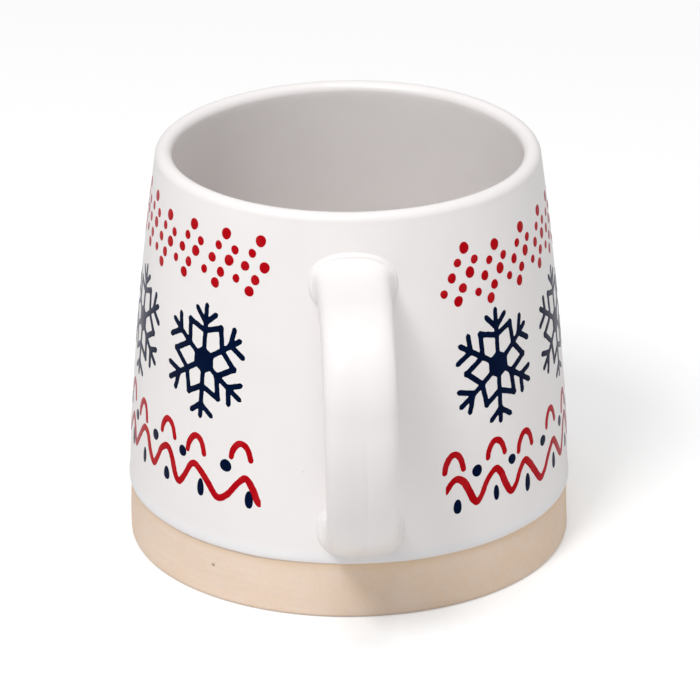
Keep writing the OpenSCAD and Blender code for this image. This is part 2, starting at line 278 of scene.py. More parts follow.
def cut_out(signed: np.ndarray, wrap: bool = False) -> Patch:
    """Cut out a grid, with the edge nudged until no two corners of it touch.

    Args:
        signed: Field at each column and row of the grid, below zero inside.
        wrap: Whether the last column joins the first.

    Returns:
        A cut-out whose edge never touches itself.
    """
    nudge = 0.003
    for attempt in range(9):
        patch = cut_once(signed + attempt * nudge, wrap)
        if crossings_are_clean(patch.faces):
            break
    return patch


def plate(patch: Patch, top: np.ndarray, bottom: np.ndarray) -> Shape:
    """Give a cut-out its thickness.

    Args:
        patch: The flat cut-out.
        top: Point above each of its points.
        bottom: Point below each of its points.

    Returns:
        A closed solid with a wall along every open edge.
    """
    count = len(patch.places)
    edges = set()
    for face in patch.faces:
        edges.update(zip(face, face[1:] + face[:1]))
    walls = [(b, a, a + count, b + count) for a, b in edges if (b, a) not in edges]
    below = [tuple(i + count for i in reversed(face)) for face in patch.faces]
    return Shape(np.vstack([top, bottom]), patch.faces + below + sorted(walls))


# ------------------------------------------------------------------------------------------ mug's form

@dataclass(frozen=True)
class MugForm:
    """The thrown form that every piece is fitted to.

    The foot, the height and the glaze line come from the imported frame. The outside follows one power
    curve from the foot to the lip, and the lip is a full round.
    """

    foot_r: float
    height: float
    line_z: float
    mouth_r: float = 43.8
    belly: float = 1.7
    wall: float = 3.2
    floor: float = 5.0
    heel_r: float = 9.0
    coat: float = 0.4
    bead: float = 0.8
    oval_share: float = 0.0018
    lip_lift: float = 0.14

    @property
    def lip_r(self) -> float:
        """Radius of the clay's rounded lip."""
        return self.wall / 2

    @property
    def lip_z(self) -> float:
        """Height of the middle of the lip's round."""
        return self.height - self.coat - self.lip_r

    def clay_r(self, z: np.ndarray) -> np.ndarray:
        """Return the clay's outside radius at height z."""
        share = np.clip(np.asarray(z, dtype=float) / self.height, 0, None)
        return self.foot_r - (self.foot_r - self.mouth_r) * share ** self.belly

    def degree(self, z: float) -> float:
        """Return the length along the glaze of one degree at height z."""
        return float(self.clay_r(z) + self.coat) * math.pi / 180

    def place(self, angle: np.ndarray, radius: np.ndarray, z: np.ndarray) -> np.ndarray:
        """Put turned coordinates in space, with the slight unevenness of a hand-thrown pot.

        Args:
            angle: Degrees from the handle.
            radius: Distance from the axis.
            z: Height above the table.

        Returns:
            Array of points.
        """
        share = np.clip(z / self.height, 0, 1.02)
        a = np.radians(angle)
        oval = np.cos(2 * a + 0.9) * share ** 1.4 + 0.45 * np.cos(3 * a - 0.6) * share
        r = radius * (1 + self.oval_share * oval)
        rise = self.lip_lift * (np.sin(2 * a + 2.2) + 0.5 * np.sin(3 * a)) * share ** 8
        return np.stack([r * np.sin(a), -r * np.cos(a), z + rise], -1)

    def side_rows(self, heights: Sequence[float], off: float) -> list:
        """Return rows up the outside at the given heights, off away from the clay."""
        return [(float(self.clay_r(z)) + off, float(z)) for z in heights]

    def lip_rows(self, start: float, stop: float, steps: int, off: float) -> list:
        """Return rows over the lip between two angles, 0 outside and 180 inside."""
        middle = float(self.clay_r(self.lip_z)) - self.lip_r
        reach = self.lip_r + off
        angles = np.radians(np.linspace(start, stop, steps + 1))
        return [(middle + reach * math.cos(a), self.lip_z + reach * math.sin(a)) for a in angles]

    def inside_rows(self, off: float) -> list:
        """Return rows down the inside, around the heel, and in to the middle of the floor."""
        heel_z = self.floor + self.heel_r
        middle = float(self.clay_r(heel_z)) - self.wall - self.heel_r
        wall_steps, heel_steps, floor_steps = 56, 14, 12
        heights = np.linspace(self.lip_z, heel_z, wall_steps, endpoint=False)[1:]
        rows = [(float(self.clay_r(z)) - self.wall - off, float(z)) for z in heights]
        bend = self.heel_r - off
        for a in np.radians(np.linspace(0, -90, heel_steps + 1)):
            rows.append((middle + bend * math.cos(a), heel_z + bend * math.sin(a)))
        rows += [(middle * share, self.floor + off) for share in np.linspace(1, 0, floor_steps + 1)[1:]]
        return rows


def packed_form() -> MugForm:
    """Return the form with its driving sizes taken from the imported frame."""
    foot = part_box("clay_body")
    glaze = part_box("outer_glaze")
    return MugForm(foot_r=foot[1].x / MM, height=glaze[1].z / MM, line_z=glaze[0].z / MM)


# ------------------------------------------------------------------------------------ shader node groups

class Grain:
    """Builds the shader node groups that the finishes share, each one once."""

    def __init__(self) -> None:
        """Build the three groups."""
        self.mottle_tree = self.mottle()
        self.pinhole_tree = self.pinholes()
        self.band_tree = self.band()

    @staticmethod
    def group(name: str, inputs: Sequence[tuple], outputs: Sequence[str]) -> tuple:
        """Start a node group.

        Args:
            name: Name of the group.
            inputs: Name and value of each input.
            outputs: Name of each output.

        Returns:
            The group, its input node and its output node.
        """
        tree = bpy.data.node_groups.new(name, "ShaderNodeTree")
        for label, value in inputs:
            socket = tree.interface.new_socket(name=label, in_out="INPUT", socket_type="NodeSocketFloat")
            socket.default_value = value
        for label in outputs:
            tree.interface.new_socket(name=label, in_out="OUTPUT", socket_type="NodeSocketFloat")
        return tree, tree.nodes.new("NodeGroupInput"), tree.nodes.new("NodeGroupOutput")

    @staticmethod
    def feed(tree: bpy.types.NodeTree, value: object, socket: object) -> None:
        """Give an input its number, or link it to the socket that the value comes from."""
        if isinstance(value, (int, float)):
            socket.default_value = value
        else:
            tree.links.new(value, socket)

    @staticmethod
    def ramp(tree: bpy.types.NodeTree, source: object, low: object, high: object) -> object:
        """Add a smooth step and return its result.

        Args:
            tree: The node tree.
            source: Socket to read.
            low: Number or socket where the result is 0.
            high: Number or socket where the result is 1.

        Returns:
            The socket of the result.
        """
        node = tree.nodes.new("ShaderNodeMapRange")
        node.interpolation_type = "SMOOTHSTEP"
        tree.links.new(source, node.inputs["Value"])
        Grain.feed(tree, low, node.inputs["From Min"])
        Grain.feed(tree, high, node.inputs["From Max"])
        return node.outputs["Result"]

    @staticmethod
    def sum(tree: bpy.types.NodeTree, kind: str, a: object, b: object) -> object:
        """Add a math node of two terms, each a number or a socket, and return its result."""
        node = tree.nodes.new("ShaderNodeMath")
        node.operation = kind
        Grain.feed(tree, a, node.inputs[0])
        Grain.feed(tree, b, node.inputs[1])
        return node.outputs[0]

    def mottle(self) -> bpy.types.NodeTree:
        """Build soft patches at one scale: a mask around a half, and the same as a height."""
        inputs = [("Scale", 60), ("Detail", 3), ("Low", 0.35), ("High", 0.65)]
        tree, start, end = self.group("Fired mottle", inputs, ["Mask", "Height"])
        where = tree.nodes.new("ShaderNodeTexCoord")
        noise = tree.nodes.new("ShaderNodeTexNoise")
        tree.links.new(where.outputs["Object"], noise.inputs["Vector"])
        tree.links.new(start.outputs["Scale"], noise.inputs["Scale"])
        tree.links.new(start.outputs["Detail"], noise.inputs["Detail"])
        result = self.ramp(tree, noise.outputs["Fac"], start.outputs["Low"], start.outputs["High"])
        tree.links.new(result, end.inputs["Mask"])
        tree.links.new(noise.outputs["Fac"], end.inputs["Height"])
        return tree

    def pinholes(self) -> bpy.types.NodeTree:
        """Build sparse round pits: a mask that is 1 in a pit."""
        inputs = [("Scale", 150), ("Size", 0.05), ("Rarity", 0.9)]
        tree, start, end = self.group("Pinholes", inputs, ["Mask"])
        where = tree.nodes.new("ShaderNodeTexCoord")
        cells = tree.nodes.new("ShaderNodeTexVoronoi")
        tree.links.new(where.outputs["Object"], cells.inputs["Vector"])
        tree.links.new(start.outputs["Scale"], cells.inputs["Scale"])
        split = tree.nodes.new("ShaderNodeSeparateColor")
        tree.links.new(cells.outputs["Color"], split.inputs["Color"])
        chosen = self.sum(tree, "GREATER_THAN", split.outputs["Red"], start.outputs["Rarity"])
        radius = self.sum(tree, "MULTIPLY", split.outputs["Green"], start.outputs["Size"])
        edge = self.sum(tree, "MULTIPLY", radius, 0.35)
        inside = self.ramp(tree, cells.outputs["Distance"], edge, radius)
        inverse = self.sum(tree, "SUBTRACT", 1, inside)
        tree.links.new(self.sum(tree, "MULTIPLY", inverse, chosen), end.inputs["Mask"])
        return tree

    def band(self) -> bpy.types.NodeTree:
        """Build a mask that rises from 0 to 1 between two heights, along a slightly wavy line."""
        inputs = [("Low", 0), ("High", 0.001), ("Waviness", 0.0006)]
        tree, start, end = self.group("Height band", inputs, ["Mask"])
        where = tree.nodes.new("ShaderNodeTexCoord")
        split = tree.nodes.new("ShaderNodeSeparateXYZ")
        noise = tree.nodes.new("ShaderNodeTexNoise")
        noise.inputs["Scale"].default_value = 55
        noise.inputs["Detail"].default_value = 2
        tree.links.new(where.outputs["Object"], noise.inputs["Vector"])
        tree.links.new(where.outputs["Object"], split.inputs["Vector"])
        centred = self.sum(tree, "SUBTRACT", noise.outputs["Fac"], 0.5)
        shift = self.sum(tree, "MULTIPLY", centred, start.outputs["Waviness"])
        height = self.sum(tree, "ADD", split.outputs["Z"], shift)
        result = self.ramp(tree, height, start.outputs["Low"], start.outputs["High"])
        tree.links.new(result, end.inputs["Mask"])
        return tree


class Finish:
    """Base of the mug's finishes: a material with one Principled shader and a chain of tints."""

    def dress(self, grain: Grain) -> bpy.types.Material:
        """Return the finish as a material.

        Args:
            grain: The shared node groups.

        Returns:
            The material, with its tints, roughness and bump.
        """
        self.grain = grain
        material = bpy.data.materials.new(self.name)
        material.use_nodes = True
        self.tree = material.node_tree
        self.shader = self.tree.nodes["Principled BSDF"]
        self.shader.inputs["Base Color"].default_value = (*self.colour, 1)
        self.shader.inputs["Roughness"].default_value = self.roughness
        self.tint_source: object = self.colour
        self.height_source: object = None
        self.layer()
        bump = self.tree.nodes.new("ShaderNodeBump")
        bump.inputs["Strength"].default_value = 1
        bump.inputs["Distance"].default_value = MM
        self.tree.links.new(self.height_source, bump.inputs["Height"])
        self.tree.links.new(bump.outputs["Normal"], self.shader.inputs["Normal"])
        return material

    def use(self, tree: bpy.types.NodeTree, output: str = "Mask", **values: float) -> object:
        """Place a node group with its own values.

        Args:
            tree: The node group.
            output: Name of the output to return.
            **values: Value of each named input.

        Returns:
            The socket of the output.
        """
        node = self.tree.nodes.new("ShaderNodeGroup")
        node.node_tree = tree
        for label, value in values.items():
            node.inputs[label].default_value = value
        return node.outputs[output]

    def mottle(self, **values: float) -> object:
        """Return the mask of soft patches with their own values."""
        return self.use(self.grain.mottle_tree, **values)

    def pits(self, **values: float) -> object:
        """Return the mask of round pits with their own values."""
        return self.use(self.grain.pinhole_tree, **values)

    def band(self, low: float, high: float, **values: float) -> object:
        """Return a mask that rises between two heights above the glaze line, in millimetres."""
        low, high = (self.line_z + low) * MM, (self.line_z + high) * MM
        return self.use(self.grain.band_tree, Low=low, High=high, **values)

    def relief(self, amount: float, **values: float) -> None:
        """Add soft patches to the bump's height, times an amount in millimetres."""
        self.raise_by(self.use(self.grain.mottle_tree, output="Height", **values), amount)

    def tint(self, mask: object, colour: Colour, share: float) -> None:
        """Mix a colour over the base by a mask.

        Args:
            mask: Socket of the mask.
            colour: Colour where the mask is 1.
            share: How much of the colour shows there.
        """
        mix = self.tree.nodes.new("ShaderNodeMix")
        mix.data_type = "RGBA"
        factor = Grain.sum(self.tree, "MULTIPLY", mask, share)
        self.tree.links.new(factor, mix.inputs[0])
        if isinstance(self.tint_source, tuple):
            mix.inputs[6].default_value = (*self.tint_source, 1)
        else:
            self.tree.links.new(self.tint_source, mix.inputs[6])
        mix.inputs[7].default_value = (*colour, 1)
        self.tint_source = mix.outputs[2]
        self.tree.links.new(self.tint_source, self.shader.inputs["Base Color"])

    def roughen(self, mask: object, low: float, high: float) -> None:
        """Spread the roughness between two values by a mask."""
        node = self.tree.nodes.new("ShaderNodeMapRange")
        self.tree.links.new(mask, node.inputs["Value"])
        node.inputs["To Min"].default_value = low
        node.inputs["To Max"].default_value = high
        self.tree.links.new(node.outputs["Result"], self.shader.inputs["Roughness"])

    def raise_by(self, mask: object, amount: float) -> None:
        """Add a mask to the bump's height, times an amount in millimetres."""
        scaled = Grain.sum(self.tree, "MULTIPLY", mask, amount)
        if self.height_source is not None:
            scaled = Grain.sum(self.tree, "ADD", self.height_source, scaled)
        self.height_source = scaled


@dataclass
class SatinGlaze(Finish):
    """White satin glaze, pooled and faintly blue above its edge, and darker along its lower edge: partly
    thin glaze, partly painted shade under the proud edge.
    """

    line_z: float = 13.4
    colour: Colour = (0.925, 0.895, 0.888)
    cloud: Colour = (0.895, 0.86, 0.85)
    pooled: Colour = (0.865, 0.868, 0.885)
    thin_glaze_and_painted_shade: Colour = (0.42, 0.31, 0.24)
    pit: Colour = (0.60, 0.55, 0.52)
    roughness: float = 0.34
    name = "satin white glaze"

    def layer(self) -> None:
        """Cloud the glaze, pool it near its edge, darken its lower edge with thin glaze and painted shade,
        and pit and ripple its skin.
        """
        self.tint(self.mottle(Scale=45, Detail=2, Low=0.3, High=0.7), self.cloud, 0.5)
        pool = Grain.sum(self.tree, "SUBTRACT", self.band(0.2, 1.2), self.band(1.6, 3.6))
        self.tint(pool, self.pooled, 0.6)
        # Darker band along the glaze's lower edge: partly thin glaze over the clay, partly painted shade
        # under the proud edge
        edge = Grain.sum(self.tree, "SUBTRACT", 1, self.band(0.1, 0.42, Waviness=0.0003))
        self.tint(edge, self.thin_glaze_and_painted_shade, 0.6)
        pits = self.pits(Scale=170, Size=0.07, Rarity=0.86)
        self.tint(pits, self.pit, 0.5)
        fine = self.mottle(Scale=520, Detail=2, Low=0.3, High=0.7)
        self.roughen(fine, self.roughness - 0.04, self.roughness + 0.07)
        self.relief(0.11, Scale=210, Detail=2)
        self.relief(0.5, Scale=34, Detail=1)
        self.raise_by(pits, -0.05)


@dataclass
class BareClay(Finish):
    """Fired clay without glaze: dry grain, warm mottling, pits, and a flashed band under the glaze."""

    line_z: float = 13.4
    colour: Colour = (0.885, 0.715, 0.59)
    warm: Colour = (0.82, 0.60, 0.40)
    pale: Colour = (0.86, 0.73, 0.63)
    flashed: Colour = (0.81, 0.59, 0.37)
    pit: Colour = (0.30, 0.19, 0.12)
    roughness: float = 0.85
    name = "bare fired clay"

    def layer(self) -> None:
        """Mottle the clay, flash it under the glaze line, and give it pits and sand."""
        self.tint(self.mottle(Scale=60, Detail=3, Low=0.35, High=0.70), self.warm, 0.4)
        self.tint(self.mottle(Scale=420, Detail=5, Low=0.40, High=0.68), self.pale, 0.35)
        self.tint(self.band(-2.4, 0.2, Waviness=0.002), self.flashed, 0.45)
        pits = self.pits(Scale=130, Size=0.11, Rarity=0.66)
        self.tint(pits, self.pit, 0.8)
        sand = self.mottle(Scale=1900, Detail=3, Low=0.35, High=0.7)
        self.tint(sand, self.warm, 0.25)
        self.roughen(sand, self.roughness - 0.05, self.roughness + 0.08)
        self.relief(0.06, Scale=1500, Detail=3)
        self.relief(0.12, Scale=260, Detail=3)
        self.raise_by(pits, -0.15)


@dataclass
class FiredSlip(Finish):
    """Slip that joins the handle to the body, fired under the glaze."""

    colour: Colour = (0.80, 0.70, 0.62)
    dark: Colour = (0.70, 0.58, 0.49)
    roughness: float = 0.8
    name = "joining slip"

    def layer(self) -> None:
        """Smear the slip a little darker in places."""
        smear = self.mottle(Scale=400, Detail=3, Low=0.4, High=0.65)
        self.tint(smear, self.dark, 0.5)
        self.roughen(smear, self.roughness - 0.06, self.roughness + 0.06)
        self.relief(0.1, Scale=700, Detail=3)


@dataclass
class TransferPrint(Finish):
    """Coloured transfer fired into the glaze, a little uneven in strength, with a painted sheen at glancing
    angles.
    """

    name: str = "red transfer print"
    colour: Colour = (0.46, 0.002, 0.007)
    faded: Colour = (0.53, 0.015, 0.022)
    speck: Colour = (0.80, 0.55, 0.52)
    # Painted sheen: a pale colour mixed into the print's base colour at glancing angles, standing in for
    # the glaze's reflection
    painted_sheen: Colour = (0.62, 0.61, 0.67)
    painted_sheen_power: float = 6
    painted_sheen_share: float = 1.0
    roughness: float = 0.45
    shine: float = 0.015

    def layer(self) -> None:
        """Fade and speckle the print, and paint a pale sheen into its colour where it is seen at a glancing
        angle, in place of the glaze's reflection.
        """
        self.shader.inputs["Specular IOR Level"].default_value = self.shine
        uneven = self.mottle(Scale=260, Detail=3, Low=0.42, High=0.66)
        self.tint(uneven, self.faded, 0.6)
        self.tint(self.pits(Scale=620, Size=0.10, Rarity=0.9), self.speck, 0.35)
        # Painted sheen: the facing angle lifts the print's colour towards a pale one, a painted reflection
        grazing = self.tree.nodes.new("ShaderNodeLayerWeight")
        painted_sheen_mask = Grain.sum(self.tree, "POWER", grazing.outputs["Facing"], self.painted_sheen_power)
        self.tint(painted_sheen_mask, self.painted_sheen, self.painted_sheen_share)
        self.roughen(uneven, self.roughness - 0.03, self.roughness + 0.06)
        self.relief(0.03, Scale=900, Detail=2)


# ------------------------------------------------------------------------------------------------ bench

class Bench:
    """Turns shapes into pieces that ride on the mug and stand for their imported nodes."""

    def __init__(self, form: MugForm) -> None:
        """Dress every finish once.

        Args:
            form: The mug's form, for the height of the glaze line.
        """
        grain = Grain()
        navy = TransferPrint(name="navy transfer print", colour=(0.0004, 0.005, 0.028),
                             faded=(0.0015, 0.009, 0.042), speck=(0.05, 0.08, 0.16))
        self.materials = {
            "white_glaze": SatinGlaze(line_z=form.line_z).dress(grain),
            "bare_clay": BareClay(line_z=form.line_z).dress(grain),
            "joining_slip": FiredSlip().dress(grain),
            "red_print": TransferPrint().dress(grain),
            "navy_print": navy.dress(grain),
        }
        subparts = frame["record"]["subparts"]
        self.slots = {part["node"]: part["material_slot"] for part in subparts}

    def set_out(self, node: str, shape: Shape) -> None:
        """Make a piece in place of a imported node.

        Args:
            node: Name of the node that the piece stands for.
            shape: Its closed shape, in millimetres.
        """
        mesh = bpy.data.meshes.new(f"fired_{node}")
        mesh.from_pydata((shape.points * MM).tolist(), [], shape.faces)
        work = bmesh.new()
        work.from_mesh(mesh)
        bmesh.ops.recalc_face_normals(work, faces=work.faces)
        open_edges = sum(1 for edge in work.edges if len(edge.link_faces) != 2)
        work.to_mesh(mesh)
        work.free()
        mesh.shade_smooth()
        mesh.set_sharp_from_angle(angle=SHARP_ANGLE)
        piece = bpy.data.objects.new(f"fired_{node}", mesh)
        bpy.context.scene.collection.objects.link(piece)
        mesh.materials.append(self.materials[self.slots[node]])
        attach(piece, "root")
        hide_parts(node)
        LOG.info("%s: %d faces, %d open edges", node, len(mesh.polygons), open_edges)


# ------------------------------------------------------------------------------------------------- body

@dataclass
class ThrownBody:
    """The thrown clay body with its bare foot, and the glaze inside and outside."""

    form: MugForm
    steps: int = 360
    ring_w: float = 6.0
    hollow: float = 1.2
    bevel: float = 0.9
    edge_wave: float = 0.13
    pool: float = 0.16
    pool_rise: float = 1.3
    pool_width: float = 1.1
    foot_row_step: float = 0.4
    covered_rows: int = 24
    glaze_rows: int = 100
    lip_steps: int = 12
    root_half_angle: float = 20

    def clay(self) -> Shape:
        """Return the clay body."""
        form = self.form
        bare_top = form.line_z + 2
        bevel_angles = np.radians([0, 22, 45, 68])
        edge = [(form.foot_r - self.bevel * (1 - math.sin(a)), self.bevel * (1 - math.cos(a)))
                for a in bevel_angles]
        heights = list(np.arange(self.bevel, bare_top, self.foot_row_step))
        heights += list(np.linspace(bare_top, form.lip_z, self.covered_rows))
        ring_in = form.foot_r - self.ring_w
        under = [(ring_in * share, self.hollow) for share in (0.25, 0.5, 0.75, 0.93)]
        rounding = [(ring_in - self.hollow, self.hollow * 0.8), (ring_in - 0.5, 0.25), (ring_in + 0.2, 0)]
        profile = edge + form.side_rows(heights, 0) + form.lip_rows(0, 180, 16, 0)[1:]
        profile += form.inside_rows(0) + [(0, self.hollow)] + under + rounding
        return turned(profile, self.place_clay, self.steps)

    def place_clay(self, angle: np.ndarray, radius: np.ndarray, z: np.ndarray) -> np.ndarray:
        """Place a row of the clay, with faint turning marks on the bare foot."""
        bare = np.clip((self.form.line_z - z) / 2, 0, 1) * np.clip((z - 0.4) / 1.5, 0, 1)
        outside = radius > self.form.foot_r - 2
        a = np.radians(angle)
        turning = 0.010 * np.sin(z * 3.1 + 0.6 * np.sin(a))
        marks = turning + 0.05 * np.sin(5 * a + z * 0.5) + 0.03 * np.sin(11 * a + 1)
        return self.form.place(angle, radius + np.where(outside, bare * marks, 0), z)

    def liner(self) -> Shape:
        """Return the glaze inside, from the top of the lip to the floor."""
        form = self.form
        skin = form.lip_rows(90, 180, self.lip_steps, form.coat) + form.inside_rows(form.coat)
        back = form.lip_rows(90, 180, self.lip_steps, 0) + form.inside_rows(0)
        return turned(skin + back[::-1], form.place, self.steps)

    def outside_rows(self) -> tuple:
        """Return the rows of the outside glaze, on its skin and on the clay, as two tables."""
        form = self.form
        bead = form.line_z + form.bead * np.array([0, 0.04, 0.12, 0.25, 0.45, 0.7, 1])
        above = np.linspace(form.line_z + form.bead, form.lip_z, self.glaze_rows)[1:]
        heights = np.concatenate([bead, above])
        share = np.clip((heights - form.line_z) / form.bead, 0, 1)
        shape = np.maximum(np.sqrt(1 - (1 - share) ** 2), 0.06)
        off_pool = (heights - form.line_z - self.pool_rise) / self.pool_width
        pooled = self.pool * np.exp(-off_pool ** 2) * share
        skin = np.array([(form.clay_r(z) + form.coat * s + p, z)
                         for z, s, p in zip(heights, shape, pooled)])
        back = np.array(form.side_rows(heights, 0))
        skin = np.vstack([skin, form.lip_rows(0, 90, self.lip_steps, form.coat)[1:]])
        back = np.vstack([back, form.lip_rows(0, 90, self.lip_steps, 0)[1:]])
        return skin, back

    def place_glaze(self, angle: np.ndarray, radius: np.ndarray, z: np.ndarray) -> np.ndarray:
        """Place a point of the outside glaze, whose lower edge runs a little unevenly."""
        a = np.radians(angle)
        wave = np.sin(3 * a + 0.7) + 0.6 * np.sin(7 * a + 2) + 0.35 * np.sin(17 * a)
        fade = np.clip(1 - (z - self.form.line_z) / 5, 0, 1)
        return self.form.place(angle, radius, z + self.edge_wave * wave * fade)

    def outside(self, roots: Sequence[np.ndarray]) -> Shape:
        """Return the glaze outside, open where the handle's roots pass through it.

        Args:
            roots: Outline of each root on the wall, as angles and heights.

        Returns:
            The closed coat.
        """
        skin, back = self.outside_rows()
        angles = np.arange(self.steps) * 360 / self.steps
        turns = (angles + 180) % 360 - 180
        signed = np.full((self.steps, len(skin)), -UNREACHED)
        near = np.abs(turns) < self.root_half_angle
        for root in roots:
            per = self.form.degree(float(root[:, 1].mean()))
            grid = np.stack(np.meshgrid(turns[near] * per, skin[:, 1], indexing="ij"), -1)
            edge = root * np.array([per, 1])
            signed[near] = np.maximum(signed[near], -outline_distance(grid, edge))
        patch = cut_out(signed, wrap=True)
        rows = np.arange(len(skin))
        angle = patch.places[:, 0] * 360 / self.steps

        def surface(table: np.ndarray) -> np.ndarray:
            """Return the points of the cut-out on a table of rows."""
            radius = np.interp(patch.places[:, 1], rows, table[:, 0])
            height = np.interp(patch.places[:, 1], rows, table[:, 1])
            return self.place_glaze(angle, radius, height)

        return plate(patch, surface(skin), surface(back))

    def build(self, bench: Bench, roots: Sequence[np.ndarray]) -> None:
        """Set out the body and its two coats."""
        bench.set_out("clay_body", self.clay())
        bench.set_out("liner_glaze", self.liner())
        bench.set_out("outer_glaze", self.outside(roots))


def outline_distance(points: np.ndarray, outline: np.ndarray) -> np.ndarray:
    """Return each point's signed distance to a closed outline, below zero inside.

    Args:
        points: Points to measure, in a list or a grid.
        outline: Corners of the outline in order.

    Returns:
        One distance for each point.
    """
    flat = points.reshape(-1, 2)
    nearest = np.full(len(flat), FAR)
    inside = np.zeros(len(flat), dtype=bool)
    for a, b in zip(outline, np.roll(outline, -1, axis=0)):
        run = b - a
        share = np.clip(((flat - a) @ run) / max(run @ run, TINY), 0, 1)
        nearest = np.minimum(nearest, np.linalg.norm(flat - a - share[:, None] * run, axis=1))
        level = (a[1] > flat[:, 1]) != (b[1] > flat[:, 1])
        rise = b[1] - a[1] if abs(b[1] - a[1]) > TINY else TINY
        inside ^= level & (flat[:, 0] < a[0] + (flat[:, 1] - a[1]) / rise * run[0])
    return np.where(inside, -nearest, nearest).reshape(points.shape[:-1])


# ----------------------------------------------------------------------------------------------- handle

class Root(Enum):
    """The two ends of the handle."""

    UPPER = "upper"
    LOWER = "lower"

    @property
    def sign(self) -> int:
        """1 where the strap's line runs out of the wall, -1 where it runs into it."""
        return 1 if self is Root.UPPER else -1


def rounded_section(half_t: float, half_w: float, power: float, count: int) -> np.ndarray:
    """Return a superellipse's points at even steps, from the middle of the outer face.

    Args:
        half_t: Half of the thickness.
        half_w: Half of the width.
        power: 2 for an ellipse, more for a squarer section.
        count: Number of points.

    Returns:
        Thickness and width coordinates of each point.
    """
    fine_count = 1441
    a = np.linspace(0, 2 * math.pi, fine_count)
    thick = half_t * np.sign(np.cos(a)) * np.abs(np.cos(a)) ** (2 / power)
    wide = half_w * np.sign(np.sin(a)) * np.abs(np.sin(a)) ** (2 / power)
    along = np.concatenate([[0], np.cumsum(np.hypot(np.diff(thick), np.diff(wide)))])
    at = np.arange(count) / count * along[-1]
    return np.stack([np.interp(at, along, thick), np.interp(at, along, wide)], -1)


@dataclass
class StrapHandle:
    """The strap handle: clay strap, slip collars, and the glaze over the strap and its roots.

    The strap's middle line runs level out of the wall, turns down, drops straight, and comes back to
    the wall along one long bend. Distances along it start at the mug's axis.
    """

    form: MugForm
    strap_w: float
    reach: float
    upper_z: float
    strap_t: float = 8.2
    square: float = 3.2
    lower_rise: float = 8.5
    bend_r: float = 15.5
    drop: float = 6.0
    lean_top: float = -0.65
    lean_foot: float = 0.8
    swell: float = 0.5
    swell_l: float = 8
    crease: float = 0.11
    crease_x: float = 0.9
    crease_w: float = 0.5
    collar_side: float = 1.6
    collar_rise: float = 2.1
    collar_l: float = 4.5
    collar_edge: float = 0.9
    fillet: float = 0.4
    count: int = 128
    ring_step: float = 0.9
    end_gap: float = 1.2
    slip_gap: float = 0.01
    push: float = 14.0
    halvings: int = 34
    # Growth of the outline and share of the rim's height, up a collar's rounded rim
    rim_steps: tuple = ((0, 0.62), (-0.05, 0.82), (-0.2, 0.95), (-0.42, 1.0), (-0.7, 0.99))
    # Share of the fillet and height above the glaze, from the foot of a root's glaze up
    fillet_steps: tuple = ((1, -0.03), (0.55, 0.05), (0.22, 0.2))
    lower_z: float = field(init=False)
    long_r: float = field(init=False)
    long_angle: float = field(init=False)

    def __post_init__(self) -> None:
        """Work out the long bend from the wall and the drop."""
        self.lower_z = self.form.line_z + self.lower_rise
        fall = self.upper_z - self.bend_r - self.drop - self.lower_z
        inset = self.reach - float(self.form.clay_r(self.lower_z))
        self.long_r = (fall ** 2 + inset ** 2) / (2 * inset)
        self.long_angle = math.atan2(fall, self.long_r - inset)

    @property
    def arm(self) -> float:
        """Length of the level arm from the axis."""
        return self.reach - self.bend_r

    @property
    def drop_start(self) -> float:
        """Distance along the line where the straight drop starts."""
        return self.arm + self.bend_r * math.pi / 2

    def root_at(self, root: Root) -> float:
        """Return the distance along the line of a root's middle on the wall."""
        if root is Root.UPPER:
            return float(self.form.clay_r(self.upper_z))
        return self.drop_start + self.drop + self.long_r * self.long_angle

    def line(self, s: float) -> tuple:
        """Return the middle line at a distance along it.

        Args:
            s: Distance along the line.

        Returns:
            The point, the direction along the line, and the direction out of the outer face.
        """
        if s < self.arm:
            out, z, turn = s, self.upper_z, 0.0
        elif s < self.drop_start:
            turn = (s - self.arm) / self.bend_r
            out = self.arm + self.bend_r * math.sin(turn)
            z = self.upper_z - self.bend_r * (1 - math.cos(turn))
        elif s < self.drop_start + self.drop:
            turn = math.pi / 2
            out, z = self.reach, self.upper_z - self.bend_r - (s - self.drop_start)
        else:
            bend = (s - self.drop_start - self.drop) / self.long_r
            turn = math.pi / 2 + bend
            out = self.reach - self.long_r * (1 - math.cos(bend))
            z = self.upper_z - self.bend_r - self.drop - self.long_r * math.sin(bend)
        share = np.clip((self.upper_z - z) / (self.upper_z - self.lower_z), 0, 1)
        lean = self.lean_top + (self.lean_foot - self.lean_top) * share
        along = np.array([0, -math.cos(turn), -math.sin(turn)])
        outward = np.array([0, -math.sin(turn), math.cos(turn)])
        return np.array([lean, -out, z]), along, outward

    def section(self, s: float, off: float, grow_side: float = 0, grow_rise: float = 0,
                square: Optional[float] = None) -> np.ndarray:
        """Return the strap's section at a distance along the line.

        Args:
            s: Distance along the line.
            off: Distance outside the clay.
            grow_side: Extra half width.
            grow_rise: Extra half thickness.
            square: Squareness, or None for the strap's own.

        Returns:
            Thickness and width coordinates around the section.
        """
        top, foot = self.root_at(Root.UPPER), self.root_at(Root.LOWER)
        near = math.exp(-((s - top) / self.swell_l) ** 2) + math.exp(-((foot - s) / self.swell_l) ** 2)
        ripple = 0.05 * math.sin(s / 6.5) + 0.04 * math.sin(s / 2.9 + 1)
        half_t = self.strap_t / 2 + self.swell * near + ripple + off + grow_rise
        half_w = self.strap_w / 2 + 0.06 * math.sin(s / 8 + 2) + off + grow_side
        section = rounded_section(half_t, half_w, square or self.square, self.count)
        past_middle = np.clip((s - self.drop_start) / 12, 0, 1) * np.clip((foot - 5 - s) / 6, 0, 1)
        off_crease = (section[:, 1] - self.crease_x) / self.crease_w
        section[:, 0] -= self.crease * past_middle * np.exp(-off_crease ** 2) * (section[:, 0] > 0)
        return section

    def ring(self, s: float, section: np.ndarray) -> np.ndarray:
        """Stand a section square on the middle line."""
        point, _, outward = self.line(s)
        return point + section[:, :1] * outward + section[:, 1:] * np.array([1, 0, 0])

